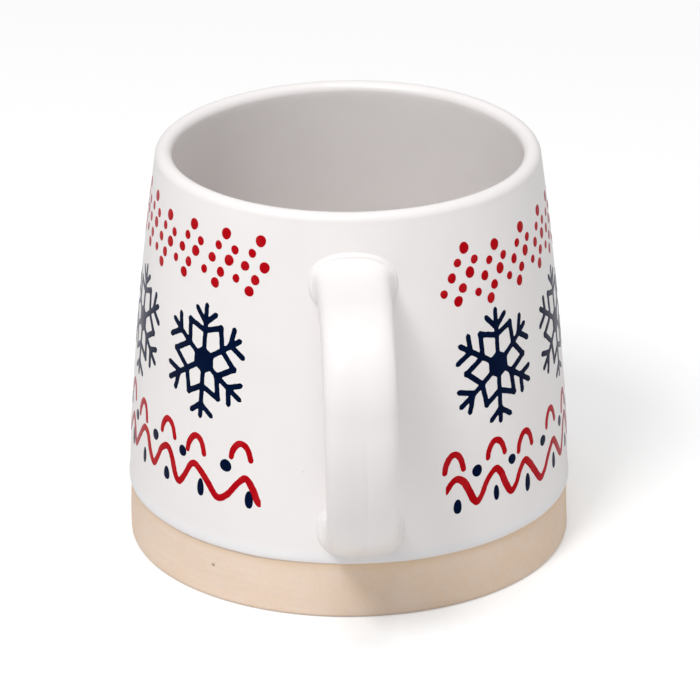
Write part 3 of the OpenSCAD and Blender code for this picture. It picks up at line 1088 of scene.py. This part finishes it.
    def dropped(self, root: Root, section: np.ndarray, off: float) -> np.ndarray:
        """Push a section along the line at a root until it meets the wall.

        Args:
            root: Which root.
            section: Thickness and width coordinates.
            off: Distance of the wall's surface outside the clay.

        Returns:
            Points on the wall.
        """
        s = self.root_at(root)
        _, along, _ = self.line(s)
        away = root.sign * along
        start = self.ring(s, section)
        low, high = np.full(len(start), -self.push), np.full(len(start), self.push)
        for _ in range(self.halvings):
            middle = (low + high) / 2
            point = start + middle[:, None] * away
            outside = self.outside_wall(point, off)
            high = np.where(outside, middle, high)
            low = np.where(outside, low, middle)
        return start + ((low + high) / 2)[:, None] * away

    def outside_wall(self, point: np.ndarray, off: float) -> np.ndarray:
        """Return whether each point lies outside the wall's surface, off away from the clay."""
        angle = np.degrees(np.arctan2(point[:, 0], -point[:, 1]))
        wall = self.form.place(angle, self.form.clay_r(point[:, 2]) + off, point[:, 2])
        return np.hypot(point[:, 0], point[:, 1]) > np.hypot(wall[:, 0], wall[:, 1])

    def collar_ring(self, root: Root, share: float, extra: float, h: float, off: float,
                    wall_off: float) -> np.ndarray:
        """Return one ring of a collar.

        Args:
            root: Which root.
            share: 1 at the collar's full outline, 0 at the strap.
            extra: Extra growth all around.
            h: Height above the wall's surface.
            off: Distance outside the clay.
            wall_off: Distance of the wall's surface outside the clay.

        Returns:
            The ring, which follows the wall near it and the strap away from it.
        """
        s = self.root_at(root)
        at = s + root.sign * h
        section = self.section(at, off, self.collar_side * share + extra, self.collar_rise * share + extra,
                               self.square - share)
        _, along, _ = self.line(s)
        on_wall = self.dropped(root, section, wall_off) + root.sign * h * along
        on_strap = self.ring(at, section)
        follow = np.clip(share * 1.15, 0, 1) ** 0.8 if h > 0 else 1.0
        return follow * on_wall + (1 - follow) * on_strap

    def collar_front(self, root: Root, off: float, last: float) -> list:
        """Return the rings from a collar's rounded rim to the strap.

        Args:
            root: Which root.
            off: Distance outside the clay.
            last: Angle of the last step of the hollow curve, up to 90.

        Returns:
            Rings from the wall outwards.
        """
        rim = self.collar_edge + off
        rings = [self.collar_ring(root, 1, extra, h * rim, off, 0) for extra, h in self.rim_steps]
        for degrees in np.arange(24, last + 0.1, 6):
            a = math.radians(degrees)
            h = rim + (self.collar_l - rim) * (1 - math.cos(a)) ** 1.15
            rings.append(self.collar_ring(root, 1 - math.sin(a), 0, h, off, 0))
        return rings

    def slip_collar(self, root: Root) -> Shape:
        """Return the slip collar around one root, between the wall, the strap and the glaze."""
        outer = [self.collar_ring(root, 1, 0, 0, 0, 0)] + self.collar_front(root, 0, 78)
        s = self.root_at(root)
        stations = s + root.sign * np.linspace(self.collar_l - 0.4, self.end_gap, 5)
        inner = [self.ring(at, self.section(at, self.slip_gap)) for at in stations]
        inner.append(self.dropped(root, self.section(s, self.slip_gap), 0))
        return hollow_loop(np.array(outer + inner))

    def root_glaze(self, root: Root) -> Shape:
        """Return the glaze over one collar, with a soft fillet where it meets the body's glaze."""
        coat = self.form.coat
        steps = [(0, 0), *((self.fillet * share, h) for share, h in self.fillet_steps), (0.03, 0.42)]
        foot = [self.collar_ring(root, 1, 0, 0, coat, 0)]
        foot += [self.collar_ring(root, 1, extra, max(h, 0), coat, coat + min(h, 0)) for extra, h in steps]
        outer = self.collar_front(root, coat, 90)
        inner = self.collar_front(root, 0, 90)[::-1] + [self.collar_ring(root, 1, 0, 0, 0, 0)]
        return hollow_loop(np.array(foot + outer + inner))

    def root_outline(self, root: Root) -> np.ndarray:
        """Return where one root passes through the body's glaze, as angles and heights."""
        ring = self.collar_ring(root, 1, 0, 0, self.form.coat, self.form.coat)
        return np.stack([np.degrees(np.arctan2(ring[:, 0], -ring[:, 1])), ring[:, 2]], -1)

    def strap(self) -> Shape:
        """Return the clay strap, whose ends follow the wall."""
        start, stop = self.root_at(Root.UPPER), self.root_at(Root.LOWER)
        rows = int((stop - start) / self.ring_step)
        stations = np.linspace(start + self.end_gap, stop - self.end_gap, rows)
        rings = [self.dropped(Root.UPPER, self.section(start, 0), 0)]
        rings += [self.ring(s, self.section(s, 0)) for s in stations]
        rings.append(self.dropped(Root.LOWER, self.section(stop, 0), 0))
        middle = np.zeros((1, 2))
        ends = np.vstack([self.dropped(root, middle, 0) for root in (Root.UPPER, Root.LOWER)])
        return capped_loft(np.array(rings), ends)

    def glaze(self) -> Shape:
        """Return the glaze around the strap, between the two collars."""
        start = self.root_at(Root.UPPER) + self.collar_l
        stop = self.root_at(Root.LOWER) - self.collar_l
        stations = np.linspace(start, stop, int((stop - start) / self.ring_step))
        outer = [self.ring(s, self.section(s, self.form.coat)) for s in stations]
        inner = [self.ring(s, self.section(s, 0)) for s in stations[::-1]]
        return hollow_loop(np.array(outer + inner))

    def build(self, bench: Bench) -> None:
        """Set out the strap, its joints and its glaze."""
        bench.set_out("clay_handle", self.strap())
        bench.set_out("handle_glaze", self.glaze())
        for root in Root:
            bench.set_out(f"{root.value}_slip_joint", self.slip_collar(root))
            bench.set_out(f"{root.value}_root_glaze", self.root_glaze(root))


def packed_handle(form: MugForm) -> StrapHandle:
    """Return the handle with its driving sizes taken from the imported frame."""
    low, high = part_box("handle_glaze")
    thick = StrapHandle.strap_t / 2 + form.coat
    strap_w = (high.x - low.x) / MM - 2 * form.coat
    return StrapHandle(form=form, strap_w=strap_w, reach=-low.y / MM - thick, upper_z=high.z / MM - thick)


# ----------------------------------------------------------------------------------------------- border

class Half(Enum):
    """The two sheets of the printed border, which meet behind the mug."""

    RIGHT = "right"
    LEFT = "left"


@dataclass(frozen=True)
class Stroke:
    """One brush stroke: points with a half width at each, drawn as one smooth line or as straight ones."""

    points: tuple
    smooth: bool = True

    def drawn(self, step: float) -> np.ndarray:
        """Return the stroke's points close together.

        Args:
            step: Largest distance between two points.

        Returns:
            Rows of x, z and half width.
        """
        knots = np.array(self.points, dtype=float)
        if not self.smooth or len(knots) < 3:
            return knots
        padded = np.vstack([2 * knots[0] - knots[1], knots, 2 * knots[-1] - knots[-2]])
        rows = [knots[:1]]
        for p0, p1, p2, p3 in zip(padded, padded[1:], padded[2:], padded[3:]):
            parts = max(2, int(np.linalg.norm((p2 - p1)[:2]) / step))
            t = np.linspace(0, 1, parts + 1)[1:, None]
            curve = 2 * p1 + (p2 - p0) * t + (2 * p0 - 5 * p1 + 4 * p2 - p3) * t ** 2
            rows.append((curve + (3 * p1 - p0 - 3 * p2 + p3) * t ** 3) / 2)
        return np.vstack(rows)


def stroke_field(grid: np.ndarray, rows: np.ndarray) -> np.ndarray:
    """Return the signed distance of grid points to a stroke of changing width.

    Args:
        grid: Points in x and z.
        rows: The stroke's x, z and half width.

    Returns:
        One distance for each grid point, below zero inside.
    """
    margin = 2.5
    best = np.full(grid.shape[:-1], UNREACHED)
    for a, b in zip(rows, rows[1:]):
        run = b[:2] - a[:2]
        reach = margin + max(a[2], b[2])
        low, high = np.minimum(a, b)[:2] - reach, np.maximum(a, b)[:2] + reach
        cols = np.searchsorted(grid[:, 0, 0], (low[0], high[0]))
        rws = np.searchsorted(grid[0, :, 1], (low[1], high[1]))
        part = grid[cols[0]:cols[1], rws[0]:rws[1]]
        share = np.clip(((part - a[:2]) @ run) / max(run @ run, 1e-9), 0, 1)
        away = np.linalg.norm(part - a[:2] - share[..., None] * run, axis=-1)
        view = best[cols[0]:cols[1], rws[0]:rws[1]]
        np.minimum(view, away - (a[2] + share * (b[2] - a[2])), out=view)
    return best


def soft_union(a: np.ndarray, b: np.ndarray, blend: float) -> np.ndarray:
    """Return the union of two signed fields with ink filling the corners between them."""
    share = np.clip(0.5 + 0.5 * (b - a) / blend, 0, 1)
    return b * (1 - share) + a * share - blend * share * (1 - share)


@dataclass
class Printer:
    """Lays flat artwork on the glaze as thin raised colour."""

    form: MugForm
    step: float = 0.2
    rise: float = 0.07
    sink: float = 0.03
    feather: float = 0.35
    wobble: float = 0.04

    def lay(self, angle: np.ndarray, z: np.ndarray, off: np.ndarray) -> np.ndarray:
        """Return points on the glaze at angles and heights, off outside its surface."""
        return self.form.place(angle, self.form.clay_r(z) + self.form.coat + off, z)

    def grid(self, low: Point2, high: Point2) -> np.ndarray:
        """Return grid points over a flat area, indexed by column and row."""
        xs = np.arange(low[0], high[0] + self.step, self.step)
        zs = np.arange(low[1], high[1] + self.step, self.step)
        return np.stack(np.meshgrid(xs, zs, indexing="ij"), -1)

    def stamp(self, grid: np.ndarray, signed: np.ndarray, angle: float, z: float) -> Shape:
        """Cut a signed field out of a grid and lay it on the glaze.

        Args:
            grid: Flat points around the artwork's middle.
            signed: The field there, below zero inside.
            angle: Where the artwork's middle goes around the mug.
            z: Height of the artwork's middle.

        Returns:
            The closed print.
        """
        per = self.form.degree(z)
        x, y = grid[..., 0], grid[..., 1]
        uneven = np.sin(x * 2.3 + 1.1 * np.sin(y * 1.9)) * np.sin(y * 2.7 + 0.6)
        patch = cut_out(signed + self.wobble * uneven)
        flat = grid[0, 0] + patch.places * self.step
        around = angle + flat[:, 0] / per
        height = z + flat[:, 1]
        lift = self.rise * (0.35 + 0.65 * np.clip(-patch.depths / self.feather, 0, 1) ** 0.6)
        sunk = np.full(len(flat), -self.sink)
        return plate(patch, self.lay(around, height, lift), self.lay(around, height, sunk))

    def blot(self, outline: np.ndarray, angle: float, z: float) -> Shape:
        """Lay one filled spot on the glaze.

        Args:
            outline: Flat outline around the spot's middle.
            angle: Where its middle goes around the mug.
            z: Height of its middle.

        Returns:
            The closed spot, slightly domed.
        """
        per = self.form.degree(z)
        count = len(outline)
        levels = ((0.0, 1.0), (0.5, 1.0), (0.82, 0.9), (1.0, 0.4))

        def row(share: float, off: float) -> np.ndarray:
            """Return the outline drawn in to a share of its size, or the middle alone."""
            flat = outline[:1] * 0 if share == 0 else outline * share
            return self.lay(angle + flat[:, 0] / per, z + flat[:, 1], np.full(len(flat), off))

        rows = [row(share, self.rise * rise) for share, rise in levels]
        rows += [row(1.0, -self.sink), row(0.0, -self.sink)]
        faces = [(0, 1 + k, 1 + (k + 1) % count) for k in range(count)]
        rings = len(levels) - 1
        for j in range(rings):
            first = 1 + j * count
            faces += ring_faces(first, first + count, count)
        bottom = 1 + rings * count
        last = bottom + count
        faces += [(bottom + (k + 1) % count, bottom + k, last) for k in range(count)]
        return Shape(np.vstack(rows), faces)


def spot_outline(width: float, length: float, taper: float, seed: float,
                 count: int = 22) -> np.ndarray:
    """Return the outline of a dabbed spot.

    Args:
        width: Across.
        length: Up and down.
        taper: How much narrower the top is than the bottom, from 0 to 1.
        seed: Changes the slight unevenness of the hand.
        count: Number of points.

    Returns:
        Flat points around the middle.
    """
    a = np.arange(count) * 2 * math.pi / count
    phase = 2 * math.pi * ((seed * GOLDEN) % 1)
    uneven = 1 + 0.03 * np.sin(2 * a + phase) + 0.02 * np.sin(3 * a + 2.1 * phase)
    long_share = length / width
    flat = np.abs(np.cos(a)) ** (1 if long_share < LONG_SPOT else 0.85)
    x = width / 2 * np.sign(np.cos(a)) * flat * (1 - taper * np.sin(a)) * uneven
    return np.stack([x, length / 2 * np.sin(a) * uneven], -1)


@dataclass
class DotChains:
    """Rows of red dots below the lip: pairs of slanting chains, thirteen pairs to a sheet."""

    printer: Printer
    half: Half
    top: float
    start: float
    pairs: int = 13
    cycle: float = 48.2
    steps: tuple = (0, 11.3, 23.9, 36.7)
    sinks: tuple = (0, -1.4, -0.4, 0)
    skipped: Optional[int] = None
    tall: float = 1.05
    # Each dot of a pair: angle and height from its first dot, and diameter
    pair: tuple = ((0, 0, 2.6), (-2.5, -3.1, 1.95), (-4.6, -6.3, 2.2), (-7.3, -9.6, 1.9),
                   (3.3, -3.2, 2.0), (1.5, -5.9, 2.5), (-1.2, -9.1, 2.2), (-2.9, -11.9, 2.35))

    def build(self, bench: Bench) -> None:
        """Set out the dots of one sheet as one piece."""
        spots = []
        for i in range(self.pairs):
            cycle, place = divmod(i, len(self.steps))
            angle = self.start + self.cycle * cycle + self.steps[place]
            top = self.top + self.sinks[place]
            for k, (turn, fall, size) in enumerate(self.pair):
                if i == self.pairs - 1 and k == self.skipped:
                    continue
                outline = spot_outline(size, size * self.tall, 0, i * len(self.pair) + k + 1)
                spots.append(self.printer.blot(outline, angle + turn, top + fall))
        bench.set_out(f"red_dots_{self.half.value}", all_joined(spots))


@dataclass
class LowerBorder:
    """Red arches over a red wave, with a navy dot over each trough and a navy drop under each peak.

    The drawing repeats three times around a sheet. Angles are from the first arch, heights are real.
    """

    printer: Printer
    half: Half
    start: float
    arch_steps: tuple
    arch_tops: tuple
    wave: tuple
    wave_first: tuple
    wave_last: tuple
    wave_from: float
    wave_to: float
    dots: tuple
    drops: tuple
    cycle: float = 52.0
    cycles: int = 3
    middle_z: float = 28.5
    margin: float = 1.6
    wave_half_w: float = 0.82
    slope_thinning: float = 0.11
    # Legs of the four arches: left end and right end from the top of the line
    arch_legs: tuple = ((-2.6, -4.0, 2.2, -3.9), (-2.5, -3.55, 2.7, -3.6),
                        (-2.8, -4.0, 2.4, -3.7), (-2.6, -3.6, 2.45, -3.5))
    # Shares of the way across and down to a leg's end, and half widths, from left to right
    left_leg: tuple = ((1, 1, 0.68), (0.93, 0.7, 0.72), (0.72, 0.38, 0.76), (0.40, 0.11, 0.78))
    right_leg: tuple = ((0, 0, 0.78), (0.44, 0.13, 0.78), (0.78, 0.46, 0.74), (1, 1, 0.70))

    def arch(self, k: int, angle: float) -> Shape:
        """Return one arch, drawn as a round top on two leaning legs."""
        left_x, left_z, right_x, right_z = self.arch_legs[k]
        knots = [(left_x * x, left_z * z, half) for x, z, half in self.left_leg]
        knots += [(right_x * x, right_z * z, half) for x, z, half in self.right_leg]
        printer = self.printer
        low = (left_x - self.margin, min(left_z, right_z) - self.margin)
        grid = printer.grid(low, (right_x + self.margin, self.margin))
        signed = stroke_field(grid, Stroke(tuple(knots)).drawn(0.3))
        return printer.stamp(grid, signed, angle, self.arch_tops[k])

    def wave_line(self) -> Stroke:
        """Return the whole wave of the sheet as one stroke around its middle."""
        middle = (self.wave_from + self.wave_to) / 2
        base = self.middle_z
        per = self.printer.form.degree(base)
        points = list(self.wave_first)
        for i in range(self.cycles):
            points += [(turn + self.cycle * i, z) for turn, z in self.wave]
        points += [(turn + self.cycle * self.cycles, z) for turn, z in self.wave_last]
        line = np.array([((self.start + turn - middle) * per, z - base, 0) for turn, z in points])
        rise = np.gradient(line[:, 1]) / np.hypot(np.gradient(line[:, 0]), np.gradient(line[:, 1]))
        line[:, 2] = self.wave_half_w - self.slope_thinning * rise
        return Stroke(tuple(map(tuple, line)))

    def wave_print(self) -> Shape:
        """Return the wave, cut off upright at both ends of the sheet."""
        printer = self.printer
        half = (self.wave_to - self.wave_from) / 2 * printer.form.degree(self.middle_z)
        rows = self.wave_line().drawn(0.35)
        low, high = rows[:, 1].min() - self.margin, rows[:, 1].max() + self.margin
        grid = printer.grid((-half - 1, low), (half + 1, high))
        signed = np.maximum(stroke_field(grid, rows), np.abs(grid[..., 0]) - half)
        return printer.stamp(grid, signed, (self.wave_from + self.wave_to) / 2, self.middle_z)

    def spots(self, table: tuple, taper: float) -> Shape:
        """Return the spots of a table of angle, height, width and length, three times around."""
        made = []
        for i in range(self.cycles):
            for k, (turn, z, width, length) in enumerate(table):
                outline = spot_outline(width, length, taper * (length > width * LONG_SPOT), i * 5 + k + 3)
                made.append(self.printer.blot(outline, self.start + self.cycle * i + turn, z))
        return all_joined(made)

    def build(self, bench: Bench) -> None:
        """Set out the arches, the wave, the dots and the drops of one sheet."""
        side = self.half.value
        arches = [self.arch(k, self.start + self.cycle * i + step)
                  for i in range(self.cycles) for k, step in enumerate(self.arch_steps)]
        bench.set_out(f"red_arches_{side}", all_joined(arches))
        bench.set_out(f"red_wave_{side}", self.wave_print())
        bench.set_out(f"navy_dots_{side}", self.spots(self.dots, 0))
        bench.set_out(f"navy_drops_{side}", self.spots(self.drops, 0.12))


@dataclass(frozen=True)
class FlakeArm:
    """One arm of a snowflake: its end, its two fork ends and where the forks leave it."""

    end: Point2
    forks: tuple
    join: Point2


@dataclass
class Snowflakes:
    """Nine navy snowflakes around the mug, all from the same drawing."""

    printer: Printer
    count: int = 9
    first: tuple = (41.3, 55.8)
    last: tuple = (315.3, 57.4)
    middle: Point2 = (0.35, 0.0)
    brush: float = 0.66
    star_brush: float = 0.68
    point_brush: float = 0.34
    point_l: float = 0.45
    ink: float = 0.3
    arms: tuple = (
        FlakeArm((0.45, 12.8), ((-2.4, 11.7), (3.3, 11.3)), (0.35, 8.8)),
        FlakeArm((10.3, 6.65), ((8.8, 9.0), (11.25, 3.05)), (7.9, 5.3)),
        FlakeArm((10.7, -6.9), ((10.85, -3.65), (8.0, -8.55)), (7.75, -4.75)),
        FlakeArm((0.15, -13.3), ((-2.5, -12.6), (3.2, -12.6)), (0.15, -10.5)),
        FlakeArm((-10.7, -7.4), ((-11.1, -3.9), (-8.5, -9.05)), (-7.4, -4.9)),
        FlakeArm((-10.3, 6.75), ((-8.1, 8.6), (-11.1, 2.9)), (-7.6, 4.95)),
    )
    star: tuple = ((0.3, 7.0), (5.05, 8.65), (5.7, 3.5), (9.05, -0.2), (4.35, -2.9), (5.0, -8.0),
                   (0.25, -6.15), (-3.8, -8.5), (-4.8, -3.35), (-9.0, 0.1), (-4.25, 3.05), (-4.6, 8.4))
    hub: tuple = ((3.3, 1.6), (0.35, 3.3), (-2.6, 1.6), (-2.6, -1.6), (0.35, -3.3), (3.3, -1.6))

    def tipped(self, start: Point2, end: Point2, brush: float) -> Stroke:
        """Return a straight stroke whose end comes to a blunt point."""
        run = np.subtract(end, start)
        ahead = np.add(end, run / np.linalg.norm(run) * self.point_l)
        return Stroke(((*start, brush), (*end, brush), (*ahead, self.point_brush)), smooth=False)

    def strokes(self) -> list:
        """Return all the strokes of the drawing."""
        made = []
        for arm in self.arms:
            made.append(self.tipped(self.middle, arm.end, self.brush))
            made += [self.tipped(arm.join, end, self.brush) for end in arm.forks]
        for i, tip in enumerate(self.star):
            if i % 2:
                made += [self.tipped(self.star[i - 1], tip, self.star_brush),
                         self.tipped(self.star[(i + 1) % len(self.star)], tip, self.star_brush)]
        return made

    def drawing(self) -> tuple:
        """Return the grid and the signed field of one snowflake."""
        grid = self.printer.grid((-13, -15.5), (13.5, 15))
        signed = outline_distance(grid, np.array(self.hub))
        for stroke in self.strokes():
            signed = soft_union(signed, stroke_field(grid, stroke.drawn(0.5)), self.ink)
        return grid, signed

    def build(self, bench: Bench) -> None:
        """Set out each snowflake as its own piece."""
        grid, signed = self.drawing()
        for i in range(self.count):
            angle, z = (a + (b - a) * i / (self.count - 1) for a, b in zip(self.first, self.last))
            bench.set_out(f"snowflake_{i + 1}", self.printer.stamp(grid, signed, angle, z))


def right_border(printer: Printer) -> LowerBorder:
    """Return the lower border of the sheet on the right of the handle."""
    return LowerBorder(
        printer, Half.RIGHT, start=26.1,
        arch_steps=(0, 13.2, 24.8, 38.8), arch_tops=(37.5, 38.1, 37.0, 37.9),
        wave_first=((-2.7, 28.9), (-1.0, 30.75)),
        wave=((0.6, 31.4), (2.6, 30.3), (4.2, 27.6), (5.2, 25.75), (6.4, 24.7), (7.8, 25.9), (9.7, 28.9),
              (11.5, 30.6), (13.1, 31.2), (14.7, 29.8), (16.2, 26.7), (18.1, 24.3), (20.1, 25.4),
              (21.9, 28.25), (24.1, 30.05), (26.2, 28.6), (28.4, 26.1), (31.2, 23.25), (33.7, 24.5),
              (36.2, 27.3), (39.7, 29.65), (42.0, 27.9), (44.5, 25.0), (46.2, 24.2), (48.0, 26.4),
              (50.2, 29.8)),
        wave_last=((0.6, 31.4), (2.6, 30.3)), wave_from=23.3, wave_to=177.3,
        dots=((6.7, 32.25, 2.83, 2.83), (18.9, 31.9, 2.5, 2.5), (33.3, 31.8, 2.6, 2.6),
              (46.2, 32.0, 2.6, 2.6)),
        drops=((0.5, 24.75, 2.15, 3.4), (12.8, 25.4, 1.65, 3.75), (24.95, 24.3, 1.85, 4.5),
               (39.6, 24.6, 1.9, 3.9)))


def left_border(printer: Printer) -> LowerBorder:
    """Return the lower border of the sheet on the left of the handle."""
    return LowerBorder(
        printer, Half.LEFT, start=184.4,
        arch_steps=(0, 14.5, 26.2, 40.7), arch_tops=(39.0, 39.6, 38.85, 40.1),
        wave_first=((-12.5, 30.8), (-9.8, 32.0), (-7.8, 29.0), (-5.9, 26.2)),
        wave=((-2.7, 29.3), (0, 32.2), (1.8, 33.05), (3.8, 32.1), (5.6, 28.7), (7.9, 26.65), (9.9, 28.7),
              (11.7, 31.5), (14.6, 32.9), (16.7, 30.9), (18.3, 27.4), (19.9, 25.95), (22.1, 28.05),
              (24.2, 31.2), (25.9, 31.95), (28.2, 30.6), (30.7, 28.4), (33.7, 25.7), (36.8, 27.1),
              (39.7, 30.25), (42.2, 31.95), (44.3, 29.6), (46.2, 26.5)),
        wave_last=((-2.7, 29.3), (0, 32.2)), wave_from=177.7, wave_to=334.95,
        dots=((8.4, 33.7, 2.7, 2.7), (21.1, 33.8, 2.6, 2.6), (36.1, 34.0, 3.07, 3.07),
              (-5.6, 33.6, 2.6, 2.6)),
        drops=((2.1, 26.4, 1.75, 3.9), (14.6, 26.3, 2.3, 3.1), (28.1, 26.8, 1.95, 4.4),
               (43.2, 27.05, 2.15, 4.2)))


# -------------------------------------------------------------------------------------------- the stage

@dataclass(frozen=True)
class Studio:
    """Pale floor, soft light from the left, and a long lens a little above the lip."""

    azimuth: float = 2.1
    elevation: float = 23.36
    distance: float = 1062
    lens: float = 233.2
    roll: float = -0.0025
    side_shift: float = 0.31
    look_z: float = 44.1
    sky: float = 0.42
    floor_white: float = 0.30
    floor_half: float = 4.0
    floor_grey: float = 0.77
    # Name, place and width in metres, and watts of each light
    lights: tuple = (("key_softbox", (-0.60, -0.92, 1.5), 0.48, 14.2),
                     ("top_softbox", (-0.10, -0.45, 1.7), 0.6, 7.8),
                     ("right_fill", (1.4, 0.0, 0.5), 1.0, 1.6))

    def floor(self) -> None:
        """Lay the floor."""
        mesh = bpy.data.meshes.new("studio_floor")
        h = self.floor_half
        mesh.from_pydata([(-h, -h, 0), (h, -h, 0), (h, h, 0), (-h, h, 0)], [], [(0, 1, 2, 3)])
        material = bpy.data.materials.new("pale floor")
        material.use_nodes = True
        shader = material.node_tree.nodes["Principled BSDF"]
        shader.inputs["Base Color"].default_value = (*[self.floor_grey] * 3, 1)
        shader.inputs["Roughness"].default_value = 0.9
        shader.inputs["Specular IOR Level"].default_value = 0.1
        shader.inputs["Emission Color"].default_value = (1, 1, 1, 1)
        path = material.node_tree.nodes.new("ShaderNodeLightPath")
        lift = Grain.sum(material.node_tree, "MULTIPLY", path.outputs["Is Camera Ray"], self.floor_white)
        material.node_tree.links.new(lift, shader.inputs["Emission Strength"])
        mesh.materials.append(material)
        floor = bpy.data.objects.new("studio_floor", mesh)
        bpy.context.scene.collection.objects.link(floor)
        floor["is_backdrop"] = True

    def light(self, name: str, place: tuple, size: float, power: float) -> None:
        """Hang a square soft light that faces the mug.

        Args:
            name: Name of the light.
            place: Where it hangs, in metres.
            size: Width of its face, in metres.
            power: Watts.
        """
        data = bpy.data.lights.new(name, "AREA")
        data.size = size
        data.energy = power
        lamp = bpy.data.objects.new(name, data)
        lamp.location = place
        aim = Vector((0, 0, self.look_z * MM)) - Vector(place)
        lamp.rotation_euler = aim.to_track_quat("-Z", "Y").to_euler()
        bpy.context.scene.collection.objects.link(lamp)

    def camera(self) -> None:
        """Set up the camera."""
        a, e = math.radians(self.azimuth), math.radians(self.elevation)
        right = Vector((math.cos(a), -math.sin(a), 0))
        ahead = Vector((math.sin(a) * math.cos(e), math.cos(a) * math.cos(e), -math.sin(e)))
        target = right * self.side_shift + Vector((0, 0, self.look_z))
        place = (target - ahead * self.distance) * MM
        up = right.cross(ahead)
        turn = Matrix((right, up, -ahead)).transposed() @ Matrix.Rotation(self.roll, 3, "Z")
        data = bpy.data.cameras.new("studio_camera")
        data.lens = self.lens
        data.sensor_width = 36
        data.clip_start = 0.05
        camera = bpy.data.objects.new("studio_camera", data)
        camera.matrix_world = Matrix.Translation(place) @ turn.to_4x4()
        bpy.context.scene.collection.objects.link(camera)
        bpy.context.scene.camera = camera

    def build(self) -> None:
        """Set up the floor, the lights, the sky and the camera."""
        self.floor()
        self.camera()
        for name, place, size, power in self.lights:
            self.light(name, place, size, power)
        world = bpy.data.worlds.new("white studio")
        world.use_nodes = True
        sky = world.node_tree.nodes["Background"]
        sky.inputs["Color"].default_value = (1, 1, 1, 1)
        sky.inputs["Strength"].default_value = self.sky
        bpy.context.scene.world = world
        bpy.context.scene.view_settings.view_transform = "Standard"


def write_sizes() -> None:
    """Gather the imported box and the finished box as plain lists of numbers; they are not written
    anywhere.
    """
    boxes = {"cad": CAD_BOX, "visual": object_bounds()}
    plain = {name: [[float(v) for v in corner] for corner in box] for name, box in boxes.items()}


def main() -> None:
    """Build the studio and the mug, piece by piece."""
    logging.basicConfig(level=logging.INFO, format="%(message)s")
    Studio().build()
    form = packed_form()
    bench = Bench(form)
    handle = packed_handle(form)
    ThrownBody(form).build(bench, [handle.root_outline(root) for root in Root])
    handle.build(bench)
    printer = Printer(form)
    dots_top = form.height - 10.4
    DotChains(printer, Half.RIGHT, top=dots_top, start=32.3).build(bench)
    DotChains(printer, Half.LEFT, top=dots_top + 3, start=187.9, skipped=4).build(bench)
    right_border(printer).build(bench)
    left_border(printer).build(bench)
    Snowflakes(printer).build(bench)
    write_sizes()


if __name__ == "__main__":
    main()
